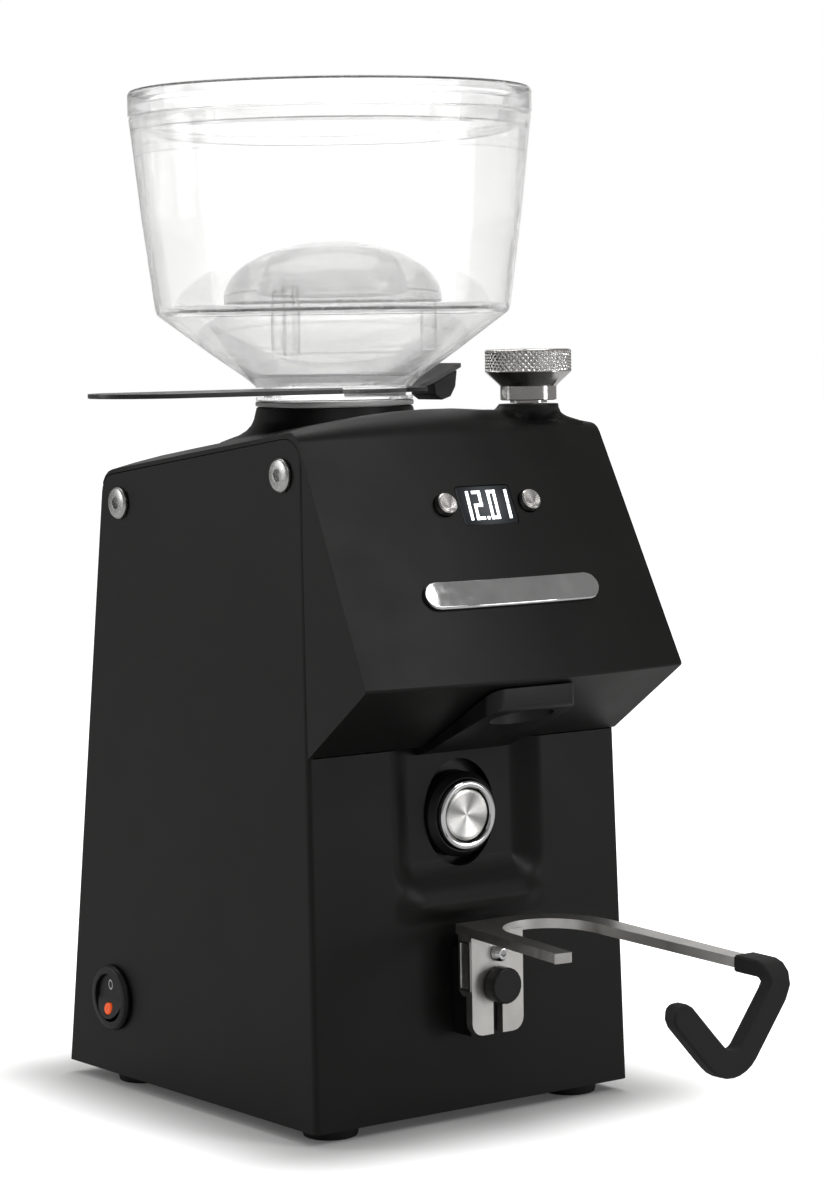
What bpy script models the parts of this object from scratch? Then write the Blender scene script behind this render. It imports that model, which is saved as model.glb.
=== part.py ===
"""Burr coffee grinder as an assembly of separate parts.

Lengths below are millimetres; MM turns them into metres when a mesh is made.
Body frame: X to the right, Y to the back, Z up, origin at the middle of the bottom edge
of the front panel. SHIFT moves that frame so that the whole object stands on Z = 0,
centred on X = Y = 0.
"""

from math import acos, atan2, cos, pi, radians, sin, tan

import bmesh
import bpy
from mathutils import Vector

MM = 0.001
GAP = 0.3

# Housing
HALF_WIDTH = 68.25
SIDE_LEAN = 0.01405
SHEET = 2.0
FOLD_R = 2.0
FRONT_LEAN = 0.02771
REAR_Y = 158.7
REAR_LEAN = 0.12207
PANEL_TOP = 126.3
TROUGH_DEPTH = 5.0
TROUGH_HALF = 27.5
LEDGE_Z = 72.5
LEDGE_PROUD = 3.2
FOOT_HEIGHT = 4.5
FOOT_R = 10.0

# Head
HEAD_WALL = 3.0
LIP_Z = 151.6
CREASE_Y = 9.6
CREASE_Z = 235.1
FACE_LEAN = 0.5
TOP_Z = 234.9
TOP_Y = 15.1
TOP_FALL = 0.1324
BOW = 6.7
FLARE = 1.7

# Hopper, shutter and adjuster
AXIS_Y = 78.5
BOWL_TOP = 345.0
BOWL_R = 71.8
LID_R = 72.1
LID_TOP = 354.6
SHUTTER_X0 = -99.3
SHUTTER_Z = 246.6
SHUTTER_T = 1.6
KNOB_X = 37.2
KNOB_Y = 13.38
RING_TEETH = 38
PINION_TEETH = 12
MODULE = 3.0

# Front controls
START_Z = 101.5
WINDOW_S = 29.0
BADGE_S = 61.5

# Basket fork
FORK_Z = 63.7
FORK_T = 3.4
FORK_DROOP = 0.026
FORK_CX = 11.3
FORK_CY = -28.7
FORK_IN_R = 17.0
FORK_OUT_R = 25.5
PRONG_X0 = 28.4
PRONG_X1 = 35.0
HOOK_Y = -117.9

SHIFT = (13.6, -24.157, FOOT_HEIGHT)

PALETTE = {
    "body_paint": ((0.012, 0.012, 0.013), 0.42, 0.0),
    "black_plastic": ((0.015, 0.015, 0.016), 0.45, 0.0),
    "clear_plastic": ((0.80, 0.83, 0.84), 0.08, 0.0),
    "chrome": ((0.72, 0.72, 0.73), 0.08, 1.0),
    "knob_steel": ((0.62, 0.61, 0.59), 0.25, 1.0),
    "fork_steel": ((0.58, 0.57, 0.55), 0.22, 1.0),
    "shutter_paint": ((0.03, 0.03, 0.032), 0.35, 0.4),
    "rubber": ((0.02, 0.02, 0.02), 0.85, 0.0),
    "screw_steel": ((0.50, 0.50, 0.49), 0.30, 1.0),
    "display_glass": ((0.02, 0.03, 0.04), 0.06, 0.0),
    "lens_orange": ((0.75, 0.13, 0.03), 0.25, 0.0),
    "board_green": ((0.03, 0.20, 0.08), 0.55, 0.0),
    "copper_wire": ((0.70, 0.28, 0.12), 0.35, 1.0),
    "stator_steel": ((0.35, 0.35, 0.36), 0.45, 1.0),
    "cast_aluminium": ((0.55, 0.55, 0.55), 0.45, 1.0),
    "burr_steel": ((0.45, 0.44, 0.43), 0.28, 1.0),
    "capacitor_shell": ((0.80, 0.80, 0.78), 0.45, 0.0),
    "plated_steel": ((0.40, 0.40, 0.40), 0.40, 1.0),
}
MATERIALS = {}


# ---------------------------------------------------------------- helpers

def clear_scene():
    for obj in list(bpy.data.objects):
        bpy.data.objects.remove(obj, do_unlink=True)


def make_materials():
    for name, (colour, roughness, metallic) in PALETTE.items():
        material = bpy.data.materials.new(name)
        material.use_nodes = True
        shader = material.node_tree.nodes["Principled BSDF"]
        shader.inputs["Base Color"].default_value = (*colour, 1.0)
        shader.inputs["Roughness"].default_value = roughness
        shader.inputs["Metallic"].default_value = metallic
        material.diffuse_color = (*colour, 1.0)
        MATERIALS[name] = material


def solid(name, points, faces, slot, origin=(0, 0, 0), tilt=None):
    """A mesh object from local points in mm. With no slot it is a hidden cutter."""
    mesh = bpy.data.meshes.new(name)
    mesh.from_pydata([Vector(p) * MM for p in points], [], faces)
    shape = bmesh.new()
    shape.from_mesh(mesh)
    bmesh.ops.triangulate(shape, faces=shape.faces[:])
    if shape.calc_volume(signed=True) < 0:
        bmesh.ops.reverse_faces(shape, faces=shape.faces[:])
    shape.to_mesh(mesh)
    shape.free()
    obj = bpy.data.objects.new(name, mesh)
    obj.location = [(origin[i] + SHIFT[i]) * MM for i in range(3)]
    if tilt is not None:
        obj.rotation_euler = tilt
    bpy.context.scene.collection.objects.link(obj)
    if slot is None:
        obj.hide_render = True
        obj.display_type = "WIRE"
    else:
        mesh.materials.append(MATERIALS[slot])
    return obj


def boolean(target, other, operation="DIFFERENCE"):
    modifier = target.modifiers.new(operation.title() + "_" + other.name, "BOOLEAN")
    modifier.operation = operation
    modifier.solver = "EXACT"
    modifier.object = other


def ring_faces(count, first, second):
    faces = []
    for k in range(count):
        n = (k + 1) % count
        faces.append((first + k, first + n, second + n, second + k))
    return faces


def loft(name, rings, slot, origin=(0, 0, 0), tilt=None, closed=False):
    """Quads between rings of equal length; the two end rings are capped unless closed."""
    count = len(rings[0])
    points = [p for ring in rings for p in ring]
    faces = []
    for i in range(len(rings) - 1):
        faces += ring_faces(count, i * count, (i + 1) * count)
    if closed:
        faces += ring_faces(count, (len(rings) - 1) * count, 0)
    else:
        faces.append(tuple(reversed(range(count))))
        faces.append(tuple(range((len(rings) - 1) * count, len(rings) * count)))
    return solid(name, points, faces, slot, origin, tilt)


def in_axis(axis, radius, angle, along):
    a = radius * cos(angle)
    b = radius * sin(angle)
    if axis == "X":
        return (along, a, b)
    if axis == "Y":
        return (b, along, a)
    return (a, b, along)


def revolve(name, profile, slot, origin, axis="Z", steps=24, tilt=None, turn=0.0):
    """Profile of (radius, along the axis). A radius of 0 at both ends closes it at poles."""
    poles = profile[0][0] == 0
    inner = profile[1:-1] if poles else profile
    rings = []
    for radius, along in inner:
        ring = [in_axis(axis, radius, turn + 2 * pi * k / steps, along) for k in range(steps)]
        rings.append(ring)
    if not poles:
        return loft(name, rings, slot, origin, tilt, closed=True)
    points = [p for ring in rings for p in ring]
    faces = []
    for i in range(len(rings) - 1):
        faces += ring_faces(steps, i * steps, (i + 1) * steps)
    start = len(points)
    points.append(in_axis(axis, 0, 0, profile[0][1]))
    points.append(in_axis(axis, 0, 0, profile[-1][1]))
    last = (len(rings) - 1) * steps
    for k in range(steps):
        n = (k + 1) % steps
        faces.append((n, k, start))
        faces.append((last + k, last + n, start + 1))
    return solid(name, points, faces, slot, origin, tilt)


def rod(name, radius, lo, hi, slot, origin, axis="Z", steps=20, edge=0.0, tilt=None):
    profile = [(0, lo), (radius - edge, lo), (radius, lo + edge)]
    profile += [(radius, hi - edge), (radius - edge, hi), (0, hi)]
    if edge == 0:
        profile = [(0, lo), (radius, lo), (radius, hi), (0, hi)]
    return revolve(name, profile, slot, origin, axis, steps, tilt)


def tube(name, outer, inner, lo, hi, slot, origin, axis="Z", steps=24, edge=0.4):
    profile = [(outer - edge, lo), (outer, lo + edge), (outer, hi - edge), (outer - edge, hi)]
    profile += [(inner, hi), (inner, lo)]
    return revolve(name, profile, slot, origin, axis, steps)


def prism(name, outline, lo, hi, slot, plane="XY", origin=(0, 0, 0), tilt=None):
    """Outline in a plane, pushed along the third axis from lo to hi."""
    rings = []
    for level in (lo, hi):
        if plane == "XY":
            rings.append([(a, b, level) for a, b in outline])
        elif plane == "YZ":
            rings.append([(level, a, b) for a, b in outline])
        else:
            rings.append([(a, level, b) for a, b in outline])
    return loft(name, rings, slot, origin, tilt)


def box(name, low, high, slot, origin=(0, 0, 0), edge=0.0, tilt=None):
    outline = rounded(low[0], low[1], high[0], high[1], edge)
    return prism(name, outline, low[2], high[2], slot, "XY", origin, tilt)


def arc(cx, cy, radius, start, end, steps):
    """Points on a circle from start to end, in degrees."""
    points = []
    for k in range(steps + 1):
        angle = radians(start + (end - start) * k / steps)
        points.append((cx + radius * cos(angle), cy + radius * sin(angle)))
    return points


def ellipse(cx, cy, rx, ry, steps):
    points = []
    for k in range(steps):
        angle = 2 * pi * k / steps
        points.append((cx + rx * cos(angle), cy + ry * sin(angle)))
    return points


def rounded(x0, y0, x1, y1, radius, steps=2):
    if radius <= 0:
        return [(x0, y0), (x1, y0), (x1, y1), (x0, y1)]
    points = arc(x1 - radius, y0 + radius, radius, -90, 0, steps)
    points += arc(x1 - radius, y1 - radius, radius, 0, 90, steps)
    points += arc(x0 + radius, y1 - radius, radius, 90, 180, steps)
    points += arc(x0 + radius, y0 + radius, radius, 180, 270, steps)
    return points


def fillet(before, corner, after, radius, steps=5):
    """Arc that rounds a corner of a 2-D outline."""
    a = Vector(before) - Vector(corner)
    b = Vector(after) - Vector(corner)
    a.normalize()
    b.normalize()
    half = acos(max(-1, min(1, a.dot(b)))) / 2
    reach = radius / tan(half)
    centre = Vector(corner) + (a + b).normalized() * (radius / sin(half))
    start = Vector(corner) + a * reach - centre
    end = Vector(corner) + b * reach - centre
    first = atan2(start.y, start.x)
    sweep = atan2(end.y, end.x) - first
    sweep = (sweep + pi) % (2 * pi) - pi
    points = []
    for k in range(steps + 1):
        angle = first + sweep * k / steps
        points.append((centre.x + radius * cos(angle), centre.y + radius * sin(angle)))
    return points


def smooth(t):
    t = max(0.0, min(1.0, t))
    return t * t * (3 - 2 * t)


def half_width(z):
    return HALF_WIDTH - SIDE_LEAN * z


def front_y(z):
    return FRONT_LEAN * z


def rear_y(z):
    return REAR_Y - REAR_LEAN * z


# ---------------------------------------------------------------- housing

def trough(x, z):
    """How far the front panel is pressed in at this point; the ledge is pressed out."""
    across = 1 - smooth((abs(x) - TROUGH_HALF + 6.0) / 12.0)
    if z < LEDGE_Z - 7.5:
        depth = 0.0
    elif z < LEDGE_Z:
        depth = -LEDGE_PROUD * smooth((z - LEDGE_Z + 7.5) / 7.5)
    else:
        rise = smooth((z - LEDGE_Z) / 14.0)
        depth = -LEDGE_PROUD + (LEDGE_PROUD + TROUGH_DEPTH) * rise
    return across * depth


def shell_ring(z):
    """Plan outline of the folded sheet at one height, outside then inside."""
    half = half_width(z)
    front = front_y(z)
    rear = rear_y(z)
    columns = [-33.5, -31.1, -28.7, -26.3, -23.9, -21.5, 21.5, 23.9, 26.3, 28.7, 31.1, 33.5]
    ring = [(-half, rear, z), (-half, front + FOLD_R, z)]
    ring.append((-half + 0.29 * FOLD_R, front + 0.29 * FOLD_R, z))
    ring.append((-half + FOLD_R, front, z))
    for x in columns:
        ring.append((x, front + trough(x, z), z))
    ring.append((half - FOLD_R, front, z))
    ring.append((half - 0.29 * FOLD_R, front + 0.29 * FOLD_R, z))
    ring += [(half, front + FOLD_R, z), (half, rear, z)]
    ring += [(half - SHEET, rear, z), (half - SHEET, front + SHEET + 0.6, z)]
    ring.append((half - SHEET - 0.6, front + SHEET, z))
    for x in reversed(columns):
        ring.append((x, front + SHEET + trough(x, z), z))
    ring.append((-half + SHEET + 0.6, front + SHEET, z))
    ring += [(-half + SHEET, front + SHEET + 0.6, z), (-half + SHEET, rear, z)]
    return ring


def side_top_outline(gap):
    """Upper edge of a side plate in YZ, from the front seam over the top to the rear edge."""
    front_low = (front_y(PANEL_TOP) - gap, PANEL_TOP)
    front_virtual = (6.7 - gap, 234.16 + gap)
    rear_virtual = (132.1 + gap, 217.55 + gap)
    rear_low = (rear_y(200) + gap, 200)
    points = [front_low]
    points += fillet(front_low, front_virtual, rear_virtual, 9.5 + gap)
    points += fillet(front_virtual, rear_virtual, rear_low, 7.0 + gap)
    return points


def make_body_shell():
    levels = [0, 64.9, 67, 69, 71, 72.5, 75, 78, 81, 84, 86.5, 240]
    shell = loft("body_shell", [shell_ring(z) for z in levels], "body_paint")
    top = side_top_outline(0.0) + [(190, 214), (190, 260), (-30, 260), (-30, PANEL_TOP)]
    boolean(shell, prism("cut_shell_top", top, -80, 80, None, "YZ"))
    rings = []
    for z in (PANEL_TOP, 250):
        half = half_width(z) - SHEET - 0.05
        rings.append([(-half, -20, z), (half, -20, z), (half, 14, z), (-half, 14, z)])
    boolean(shell, loft("cut_shell_wall", rings, None))
    oval = ellipse(0, 102.15, 15.3, 18.65, 36)
    boolean(shell, prism("cut_start_oval", oval, -2, 20, None, "XZ"))
    boolean(shell, rod("cut_switch", 10.3, -80, -60, None, (0, 128.1, 27.9), "X"))
    for tag, y, z in SCREW_PLACES:
        boolean(shell, rod("cut_screw_" + tag, 2.4, -80, 80, None, (0, y, z), "X", 16))
    rods = [("l", -4.5), ("r", 4.5)]
    for tag, x in rods:
        boolean(shell, rod("cut_block_" + tag, 1.7, -3, 6, None, (x, 0, 34), "Y", 12))
    return shell


SCREW_PLACES = [("front", 17.8, 220.8), ("rear", 120.6, 208.3)]


def make_side_screws():
    for tag, y, z in SCREW_PLACES:
        for side, name in ((-1, "left"), (1, "right")):
            face = half_width(z) + 0.25
            profile = [(0, -5.5), (2.0, -5.5), (2.0, 0), (5.75, 0), (5.75, 0.9), (5.2, 1.5)]
            profile += [(3.1, 1.9), (0, 1.9)]
            profile = [(r, side * a) for r, a in profile]
            origin = (side * face, y, z)
            screw = revolve(f"side_screw_{tag}_{name}", profile, "screw_steel", origin, "X", 22)
            lo, hi = (0.6, 3.0) if side > 0 else (-3.0, -0.6)
            socket = revolve(
                f"cut_socket_{tag}_{name}",
                [(0, lo), (2.3, lo), (2.3, hi), (0, hi)], None, origin, "X", 6)
            boolean(screw, socket)


def make_base_plate():
    half = half_width(0) - SHEET - 0.5
    plate = box("base_plate", (-half, 3.0, 0.3), (half, 155.8, 2.3), "plated_steel", edge=2.0)
    for row in range(4):
        y = 60 + 12 * row
        slot = box(f"cut_base_vent_{row}", (-25, y, -2), (25, y + 4, 6), None, edge=1.9)
        boolean(plate, slot)


def make_rear_panel():
    low, high = 2.8, 211.6
    rings = []
    for z in (low, high):
        half = half_width(z) - SHEET - 0.4
        y = rear_y(z)
        rings.append([(-half, y - 2, z), (half, y - 2, z), (half, y, z), (-half, y, z)])
    panel = loft("rear_panel", rings, "body_paint")
    for row in range(6):
        z = 64 + 10 * row
        y = rear_y(z)
        slot = rounded(-34, z, 34, z + 4, 1.9)
        boolean(panel, prism(f"cut_rear_vent_{row}", slot, y - 8, y + 8, None, "XZ"))
    boolean(panel, rod("cut_gland", 6.3, 140, 175, None, (30, 0, 22), "Y"))


def make_feet():
    places = {"front_left": (-52.5, 14), "front_right": (52.5, 14)}
    places.update({"rear_left": (-54, 130), "rear_right": (54, 130)})
    for tag, (x, y) in places.items():
        profile = [(0, -FOOT_HEIGHT), (8.8, -FOOT_HEIGHT), (9.4, -4.1), (FOOT_R, -0.6)]
        profile += [(9.6, -0.05), (0, -0.05)]
        revolve("foot_" + tag, profile, "rubber", (x, y, 0), "Z", 20)


def make_cable_gland():
    y = rear_y(22)
    profile = [(0, y - 9), (5.9, y - 9), (5.9, y + 1.5), (9.0, y + 1.5), (9.0, y + 4.9)]
    profile += [(7.6, y + 5.2), (6.6, y + 12.2), (5.8, y + 13.0), (0, y + 13.0)]
    gland = revolve("cable_gland", profile, "black_plastic", (30, 0, 22), "Y", 28)
    boolean(gland, rod("cut_gland_bore", 3.4, y + 1, y + 20, None, (30, 0, 22), "Y", 20))


# ---------------------------------------------------------------- head

def bow(s):
    return BOW * (1 - s * s)


def crown(s, y):
    swell = BOW + 1.3 * smooth((y - 10) / 60.0)
    return swell * (1 - s * s)


def face_y(s, z):
    return CREASE_Y - (CREASE_Z - z) * FACE_LEAN - bow(s)


def top_z(s, y):
    return TOP_Z + (TOP_Y - y) * TOP_FALL + crown(s, y)


def crease_point(s):
    """Where the front face and the top would meet if they were not rounded."""
    y = CREASE_Y
    for _ in range(12):
        z = top_z(s, y)
        y = face_y(s, z)
    return (y, z)


def rear_point(s):
    y = 131.0
    for _ in range(12):
        z = top_z(s, y)
        y = rear_y(z)
    return (y, z)


def upper_outline(s, inset):
    """From the lip up the front face, over the top and down the rear, in YZ."""
    in_face = inset / cos(atan2(FACE_LEAN, 1.0))
    lip_z = LIP_Z + inset * 0.8
    lip = (face_y(s, lip_z) + in_face, lip_z)
    crease = crease_point(s)
    crease = (crease[0] + in_face, crease[1] - inset * 1.05)
    back = rear_point(s)
    back = (back[0] - inset * 1.6, back[1] - inset)
    low = (rear_y(212.2) - inset * 1.6, 212.2)
    middle = ((crease[0] + 70) / 2, top_z(s, (crease[0] + 70) / 2) - inset)
    swell = 1 - s * s
    front_r = max(1.5, 6 + 10 * swell - inset)
    rear_r = max(1.5, 8 + 6 * swell - inset)
    points = [lip]
    points += fillet(lip, crease, middle, front_r)
    for y in (45, 78.5, 105):
        points.append((y, top_z(s, y) - inset))
    points += fillet((105, top_z(s, 105) - inset), back, low, rear_r, 4)
    points.append(low)
    return points


def lean_x(s, y, z, inset):
    flare = FLARE * (max(0.0, 3.5 - y) / 35.6) ** 2
    return s * (half_width(z) + flare - inset)


def head_ring(s):
    outline = [(14, PANEL_TOP + 0.4), (3.2, PANEL_TOP + 0.4)]
    lip = (face_y(s, LIP_Z), LIP_Z)
    outline += fillet((3.2, PANEL_TOP + 0.4), lip, (face_y(s, 180), 180), 1.0, 3)
    outline += upper_outline(s, 0.0)[1:]
    outline += [(rear_y(212.2) - 2.5, 212.2), (rear_y(203) - 2.5, 203)]
    outline += [(127, 203), (26, 216), (14.5, 205)]
    return [(lean_x(s, y, z, 0), y, z) for y, z in outline]


def cavity_ring(s):
    outline = [(40, PANEL_TOP + 3.4), (3.9, PANEL_TOP + 3.4)]
    outline += upper_outline(s, HEAD_WALL)
    outline += [(rear_y(212.2) - HEAD_WALL * 1.6, 190), (40, 190)]
    inset = SHEET + 0.4 + HEAD_WALL
    return [(lean_x(s, y, z, inset), y, z) for y, z in outline]


def stations():
    return [-1, -0.86, -0.7, -0.5, -0.3, -0.1, 0.1, 0.3, 0.5, 0.7, 0.86, 1]


def side_slab(side):
    outline = side_top_outline(GAP)
    outline[0] = (outline[0][0] + 0.05, PANEL_TOP - 8)
    outline += [(140, 211.0), (140, 118)]
    inner = [(side * (half_width(z) - SHEET - 0.4), y, z) for y, z in outline]
    outer = [(side * 90, y, z) for y, z in outline]
    return loft("cut_side_slab_" + ("r" if side > 0 else "l"), [inner, outer], None)


def make_head():
    head = loft("head_casting", [head_ring(s) for s in stations()], "body_paint")
    axis = (0, AXIS_Y, 0)
    boss = [(0, 224), (41.5, 224), (41.5, 229.3), (38, 230.6), (34.6, 231.8), (32, 233.4)]
    boss += [(30.3, 235.2), (29.2, 237.4), (28.2, 241.4), (27.7, 241.8), (0, 241.8)]
    boolean(head, revolve("add_hopper_boss", boss, None, axis, "Z", 28), "UNION")
    knob = (KNOB_X, KNOB_Y, 0)
    boolean(head, make_knob_boss(knob), "UNION")
    rings = [cavity_ring(s) for s in stations()]
    boolean(head, loft("cut_head_cavity", rings, None))
    boolean(head, side_slab(-1))
    boolean(head, side_slab(1))
    boolean(head, rod("cut_hopper_bore", 24.6, 200, 250, None, axis, "Z", 28))
    boolean(head, rod("cut_knob_bore", 4.6, 200, 250, None, knob, "Z", 24))
    duct = rounded(-14.8, -32.4, 14.8, -8.0, 2.0, 2)
    boolean(head, prism("cut_duct", duct, 120, 152, None))
    cut_slope_holes(head)
    for tag, y, z in SCREW_PLACES:
        boolean(head, rod("cut_head_screw_" + tag, 2.4, -80, 80, None, (0, y, z), "X", 16))


def slope_origin(x, s_down, out):
    """Point on the sloping face at X, this far down from the crease, moved out along the normal."""
    s = x / 66.4
    y = CREASE_Y - 0.4472 * s_down - bow(s) - 0.8944 * out
    z = CREASE_Z - 0.8944 * s_down + 0.4472 * out
    return (x, y, z)


SLOPE = (atan2(1.0, FACE_LEAN), 0, 0)


def make_knob_boss(origin):
    """Round at its top; lower down it spreads sideways and back but stays narrow in front."""
    levels = ((222, 24, 4), (232, 24.5, 5), (235.6, 24.5, 6.2), (236.8, 20, 7.2))
    levels += ((237.6, 17, 8.2), (238.6, 14.5, 9.2), (240.0, 12.6, 10.2), (241.4, 11.3, 10.7))
    levels += ((242.3, 10.4, 10.4),)
    rings = []
    for z, spread, front in levels:
        ring = []
        for k in range(28):
            angle = 2 * pi * k / 28
            ahead = smooth(-sin(angle) * 1.2)
            radius = spread + (front - spread) * ahead
            ring.append((radius * cos(angle), radius * sin(angle), z))
        rings.append(ring)
    return loft("add_knob_boss", rings, None, origin)


def cut_slope_holes(head):
    place = slope_origin(0, WINDOW_S, 0)
    outline = rounded(-11.7, -7.3, 11.7, 7.3, 1.2, 2)
    boolean(head, prism("cut_window", outline, -8, 8, None, "XY", place, SLOPE))
    for tag, x in (("minus", -18), ("plus", 18)):
        place = slope_origin(x, 28.7, 0)
        boolean(head, rod("cut_" + tag, 4.15, -8, 8, None, place, "Z", 24, tilt=SLOPE))


def make_display():
    place = slope_origin(0, WINDOW_S, 0)
    outline = rounded(-11.4, -7.0, 11.4, 7.0, 1.0, 2)
    prism("display_window", outline, -2.4, -0.2, "display_glass", "XY", place, SLOPE)
    outline = rounded(-23.5, -10, 23.5, 10, 1.5, 2)
    board = prism("display_board", outline, -11.4, -9.8, "board_green", "XY", place, SLOPE)
    module = prism("add_display", rounded(-11, -6.6, 11, 6.6, 0.6, 2), -10.2, -2.8, None,
                   "XY", place, SLOPE)
    boolean(board, module, "UNION")
    for tag, x in (("minus", -18), ("plus", 18)):
        place = slope_origin(x, 28.7, 0)
        rod("button_" + tag, 3.8, -5.2, 3.0, "knob_steel", place, "Z", 20, 0.5, SLOPE)


def make_badge():
    """Plain bar with round ends that follows the bow of the face."""
    rings = []
    for x in (-37, -36.6, -35.6, -34, -32, -22, -11, 0, 11, 22, 32, 34, 35.6, 36.6, 37):
        past = max(0.0, abs(x) - 32) / 5
        half = 5 * max(0.02, 1 - past * past) ** 0.5
        edge = half * 0.88
        ring = []
        for down, out in ((half, 0.3), (-half, 0.3), (-half, 1.3), (-edge, 1.8), (edge, 1.8),
                          (half, 1.3)):
            ring.append(slope_origin(x, BADGE_S + down, out))
        rings.append(ring)
    loft("badge", rings, "chrome")


# ---------------------------------------------------------------- chute

def make_chute():
    under = 0.5952
    top_front = PANEL_TOP + 0.4 + (3.2 + 36) * under - 0.9
    outline = [(-36, top_front), (-36, 143.4), (-35.4, 142.0), (-34.2, 141.1)]
    outline += [(3.0, 124.3), (7.7, 123.4), (7.7, PANEL_TOP + 0.1), (3.4, PANEL_TOP + 0.1)]
    chute = prism("chute", outline, -18.5, 18.5, "black_plastic", "YZ")
    corner = 5.0
    for side, first, last in ((-1, 270, 180), (1, 270, 360)):
        cx = side * (18.5 - corner)
        edge = arc(cx, -36 + corner, corner, first, last, 6)
        edge += [(side * 30, -36 + corner), (side * 30, -50), (cx, -50)]
        tag = "r" if side > 0 else "l"
        boolean(chute, prism("cut_chute_corner_" + tag, edge, 120, 160, None))
    riser = [(-31.6, 146), (-31.6, 151), (-24, 158), (36.9, 171.8), (36.9, 156.4)]
    riser += [(14, 151.9), (-8.6, 146.5), (-8.6, 136)]
    boolean(chute, prism("add_riser", riser, -14.2, 14.2, None, "YZ"), "UNION")
    inner = [(-29.8, 141), (-29.8, 150.2), (-23.2, 156.0), (40, 170.0), (40, 158.6)]
    inner += [(13, 153.9), (-10.4, 148.2), (-22, 141)]
    boolean(chute, prism("cut_passage", inner, -12, 12, None, "YZ"))
    mouth = ellipse(0, -27.6, 13, 6.4, 28)
    boolean(chute, prism("cut_mouth", mouth, 125, 147, None))


# ---------------------------------------------------------------- hopper

def make_hopper():
    axis = (0, AXIS_Y, 0)
    ring = [(24.9, 242.1), (28.2, 242.1), (28.45, 242.4), (28.45, 243.5), (28.2, 243.8), (24.9, 243.8)]
    revolve("hopper_collar", ring, "clear_plastic", axis, "Z", 28)
    outer = [(21, 204), (23.5, 204), (23.5, 244.1), (28.3, 244.1), (28.3, 249.3), (32.2, 252.6)]
    outer += [(43.6, 260.6), (60.9, 273.5), (62.9, 275.0), (63.7, 276.9), (67.8, 308.3)]
    outer += [(71.4, 341.0), (BOWL_R, 344.4), (71.5, BOWL_TOP)]
    inner = [(67.7, BOWL_TOP), (67.7, 339.6), (65.5, 308.3), (61.5, 277.8), (60.6, 276.0)]
    inner += [(59.4, 275.0), (42.3, 262.6), (31.0, 254.8), (24.0, 251.6), (21, 250.4)]
    bowl = revolve("hopper_bowl", outer + inner, "clear_plastic", axis, "Z", 28)
    slot = [(-40, -24.6), (40, -24.6), (40, 24.6), (-40, 24.6)]
    boolean(bowl, prism("cut_shutter_slot", slot, 245.4, 248.7, None, "XY", axis))
    lid = [(0, 351.6), (63.3, 351.6), (65.3, 349.6), (65.4, 341.0), (67.2, 341.0), (67.3, 345.4)]
    lid += [(LID_R, 345.4), (LID_R, 353.4), (71.3, 354.3), (70.2, LID_TOP), (0, LID_TOP)]
    revolve("hopper_lid", lid, "clear_plastic", axis, "Z", 28)
    make_dome(axis)


def make_dome(axis):
    outer = [(39.2, 278.6), (39.2, 280.2)]
    inner = []
    for k in range(1, 6):
        angle = radians(15 * k)
        outer.append((39.2 * cos(angle), 280.2 + 21.0 * sin(angle)))
        inner.append((37.4 * cos(angle), 279.8 + 19.6 * sin(angle)))
    profile = [(0, 301.2)] + outer[::-1] + [(37.4, 278.6)] + inner + [(0, 299.4)]
    dome = revolve("hopper_dome", profile, "clear_plastic", axis, "Z", 24)
    for k, angle in enumerate((-150, -30, 90)):
        x = 34.6 * cos(radians(angle))
        y = AXIS_Y + 34.6 * sin(radians(angle))
        post = rod(f"add_post_{k}", 3.0, 261.2, 284.5, None, (x, y, 0), "Z", 14)
        boolean(dome, post, "UNION")


def make_shutter():
    top = SHUTTER_Z + SHUTTER_T
    outline = arc(0, 0, 24, 110, 250, 8)
    outline = [(SHUTTER_X0 + 24 + x, y) for x, y in outline]
    outline += [(-40, -24), (24, -24), (29.5, -16), (29.5, 16), (24, 24), (-40, 24)]
    origin = (0, AXIS_Y, 0)
    plate = prism("shutter_plate", outline, SHUTTER_Z, top, "shutter_paint", "XY", origin)
    low = SHUTTER_Z
    profile = [(27, low), (30.5, low), (40, low + 3.2), (51, low + 8.2)]
    profile += [(51, low + 9.8), (40, low + 4.8), (30.5, top), (27, top)]
    boolean(plate, prism("add_tab", profile, -8.6, 8.6, None, "XZ", origin), "UNION")
    boolean(plate, rod("cut_shutter_hole", 19.5, 240, 260, None, origin, "Z", 24))
    grip = [(39.2, low + 2.5), (40, low - 1.6), (43, low - 3.6), (47, low - 2.4), (49.2, low + 1.2)]
    grip += [(50.0, low + 7.1), (40, low + 2.8)]
    prism("shutter_grip", grip, -7.4, 7.4, "black_plastic", "XZ", origin)


# ---------------------------------------------------------------- grind adjuster

def gear_outline(teeth, root, tip, first=0, last=None, turn=0.0):
    """Outline with straight-sided teeth; outside first..last it stays at the root."""
    last = teeth if last is None else last
    step = 2 * pi / teeth
    points = []
    for k in range(teeth):
        centre = turn + step * k
        shape = ((-0.31, root), (-0.13, tip), (0.13, tip), (0.31, root))
        for part, radius in shape:
            use = radius if first <= k < last else root
            angle = centre + part * step
            points.append((use * cos(angle), use * sin(angle)))
    return points


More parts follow.
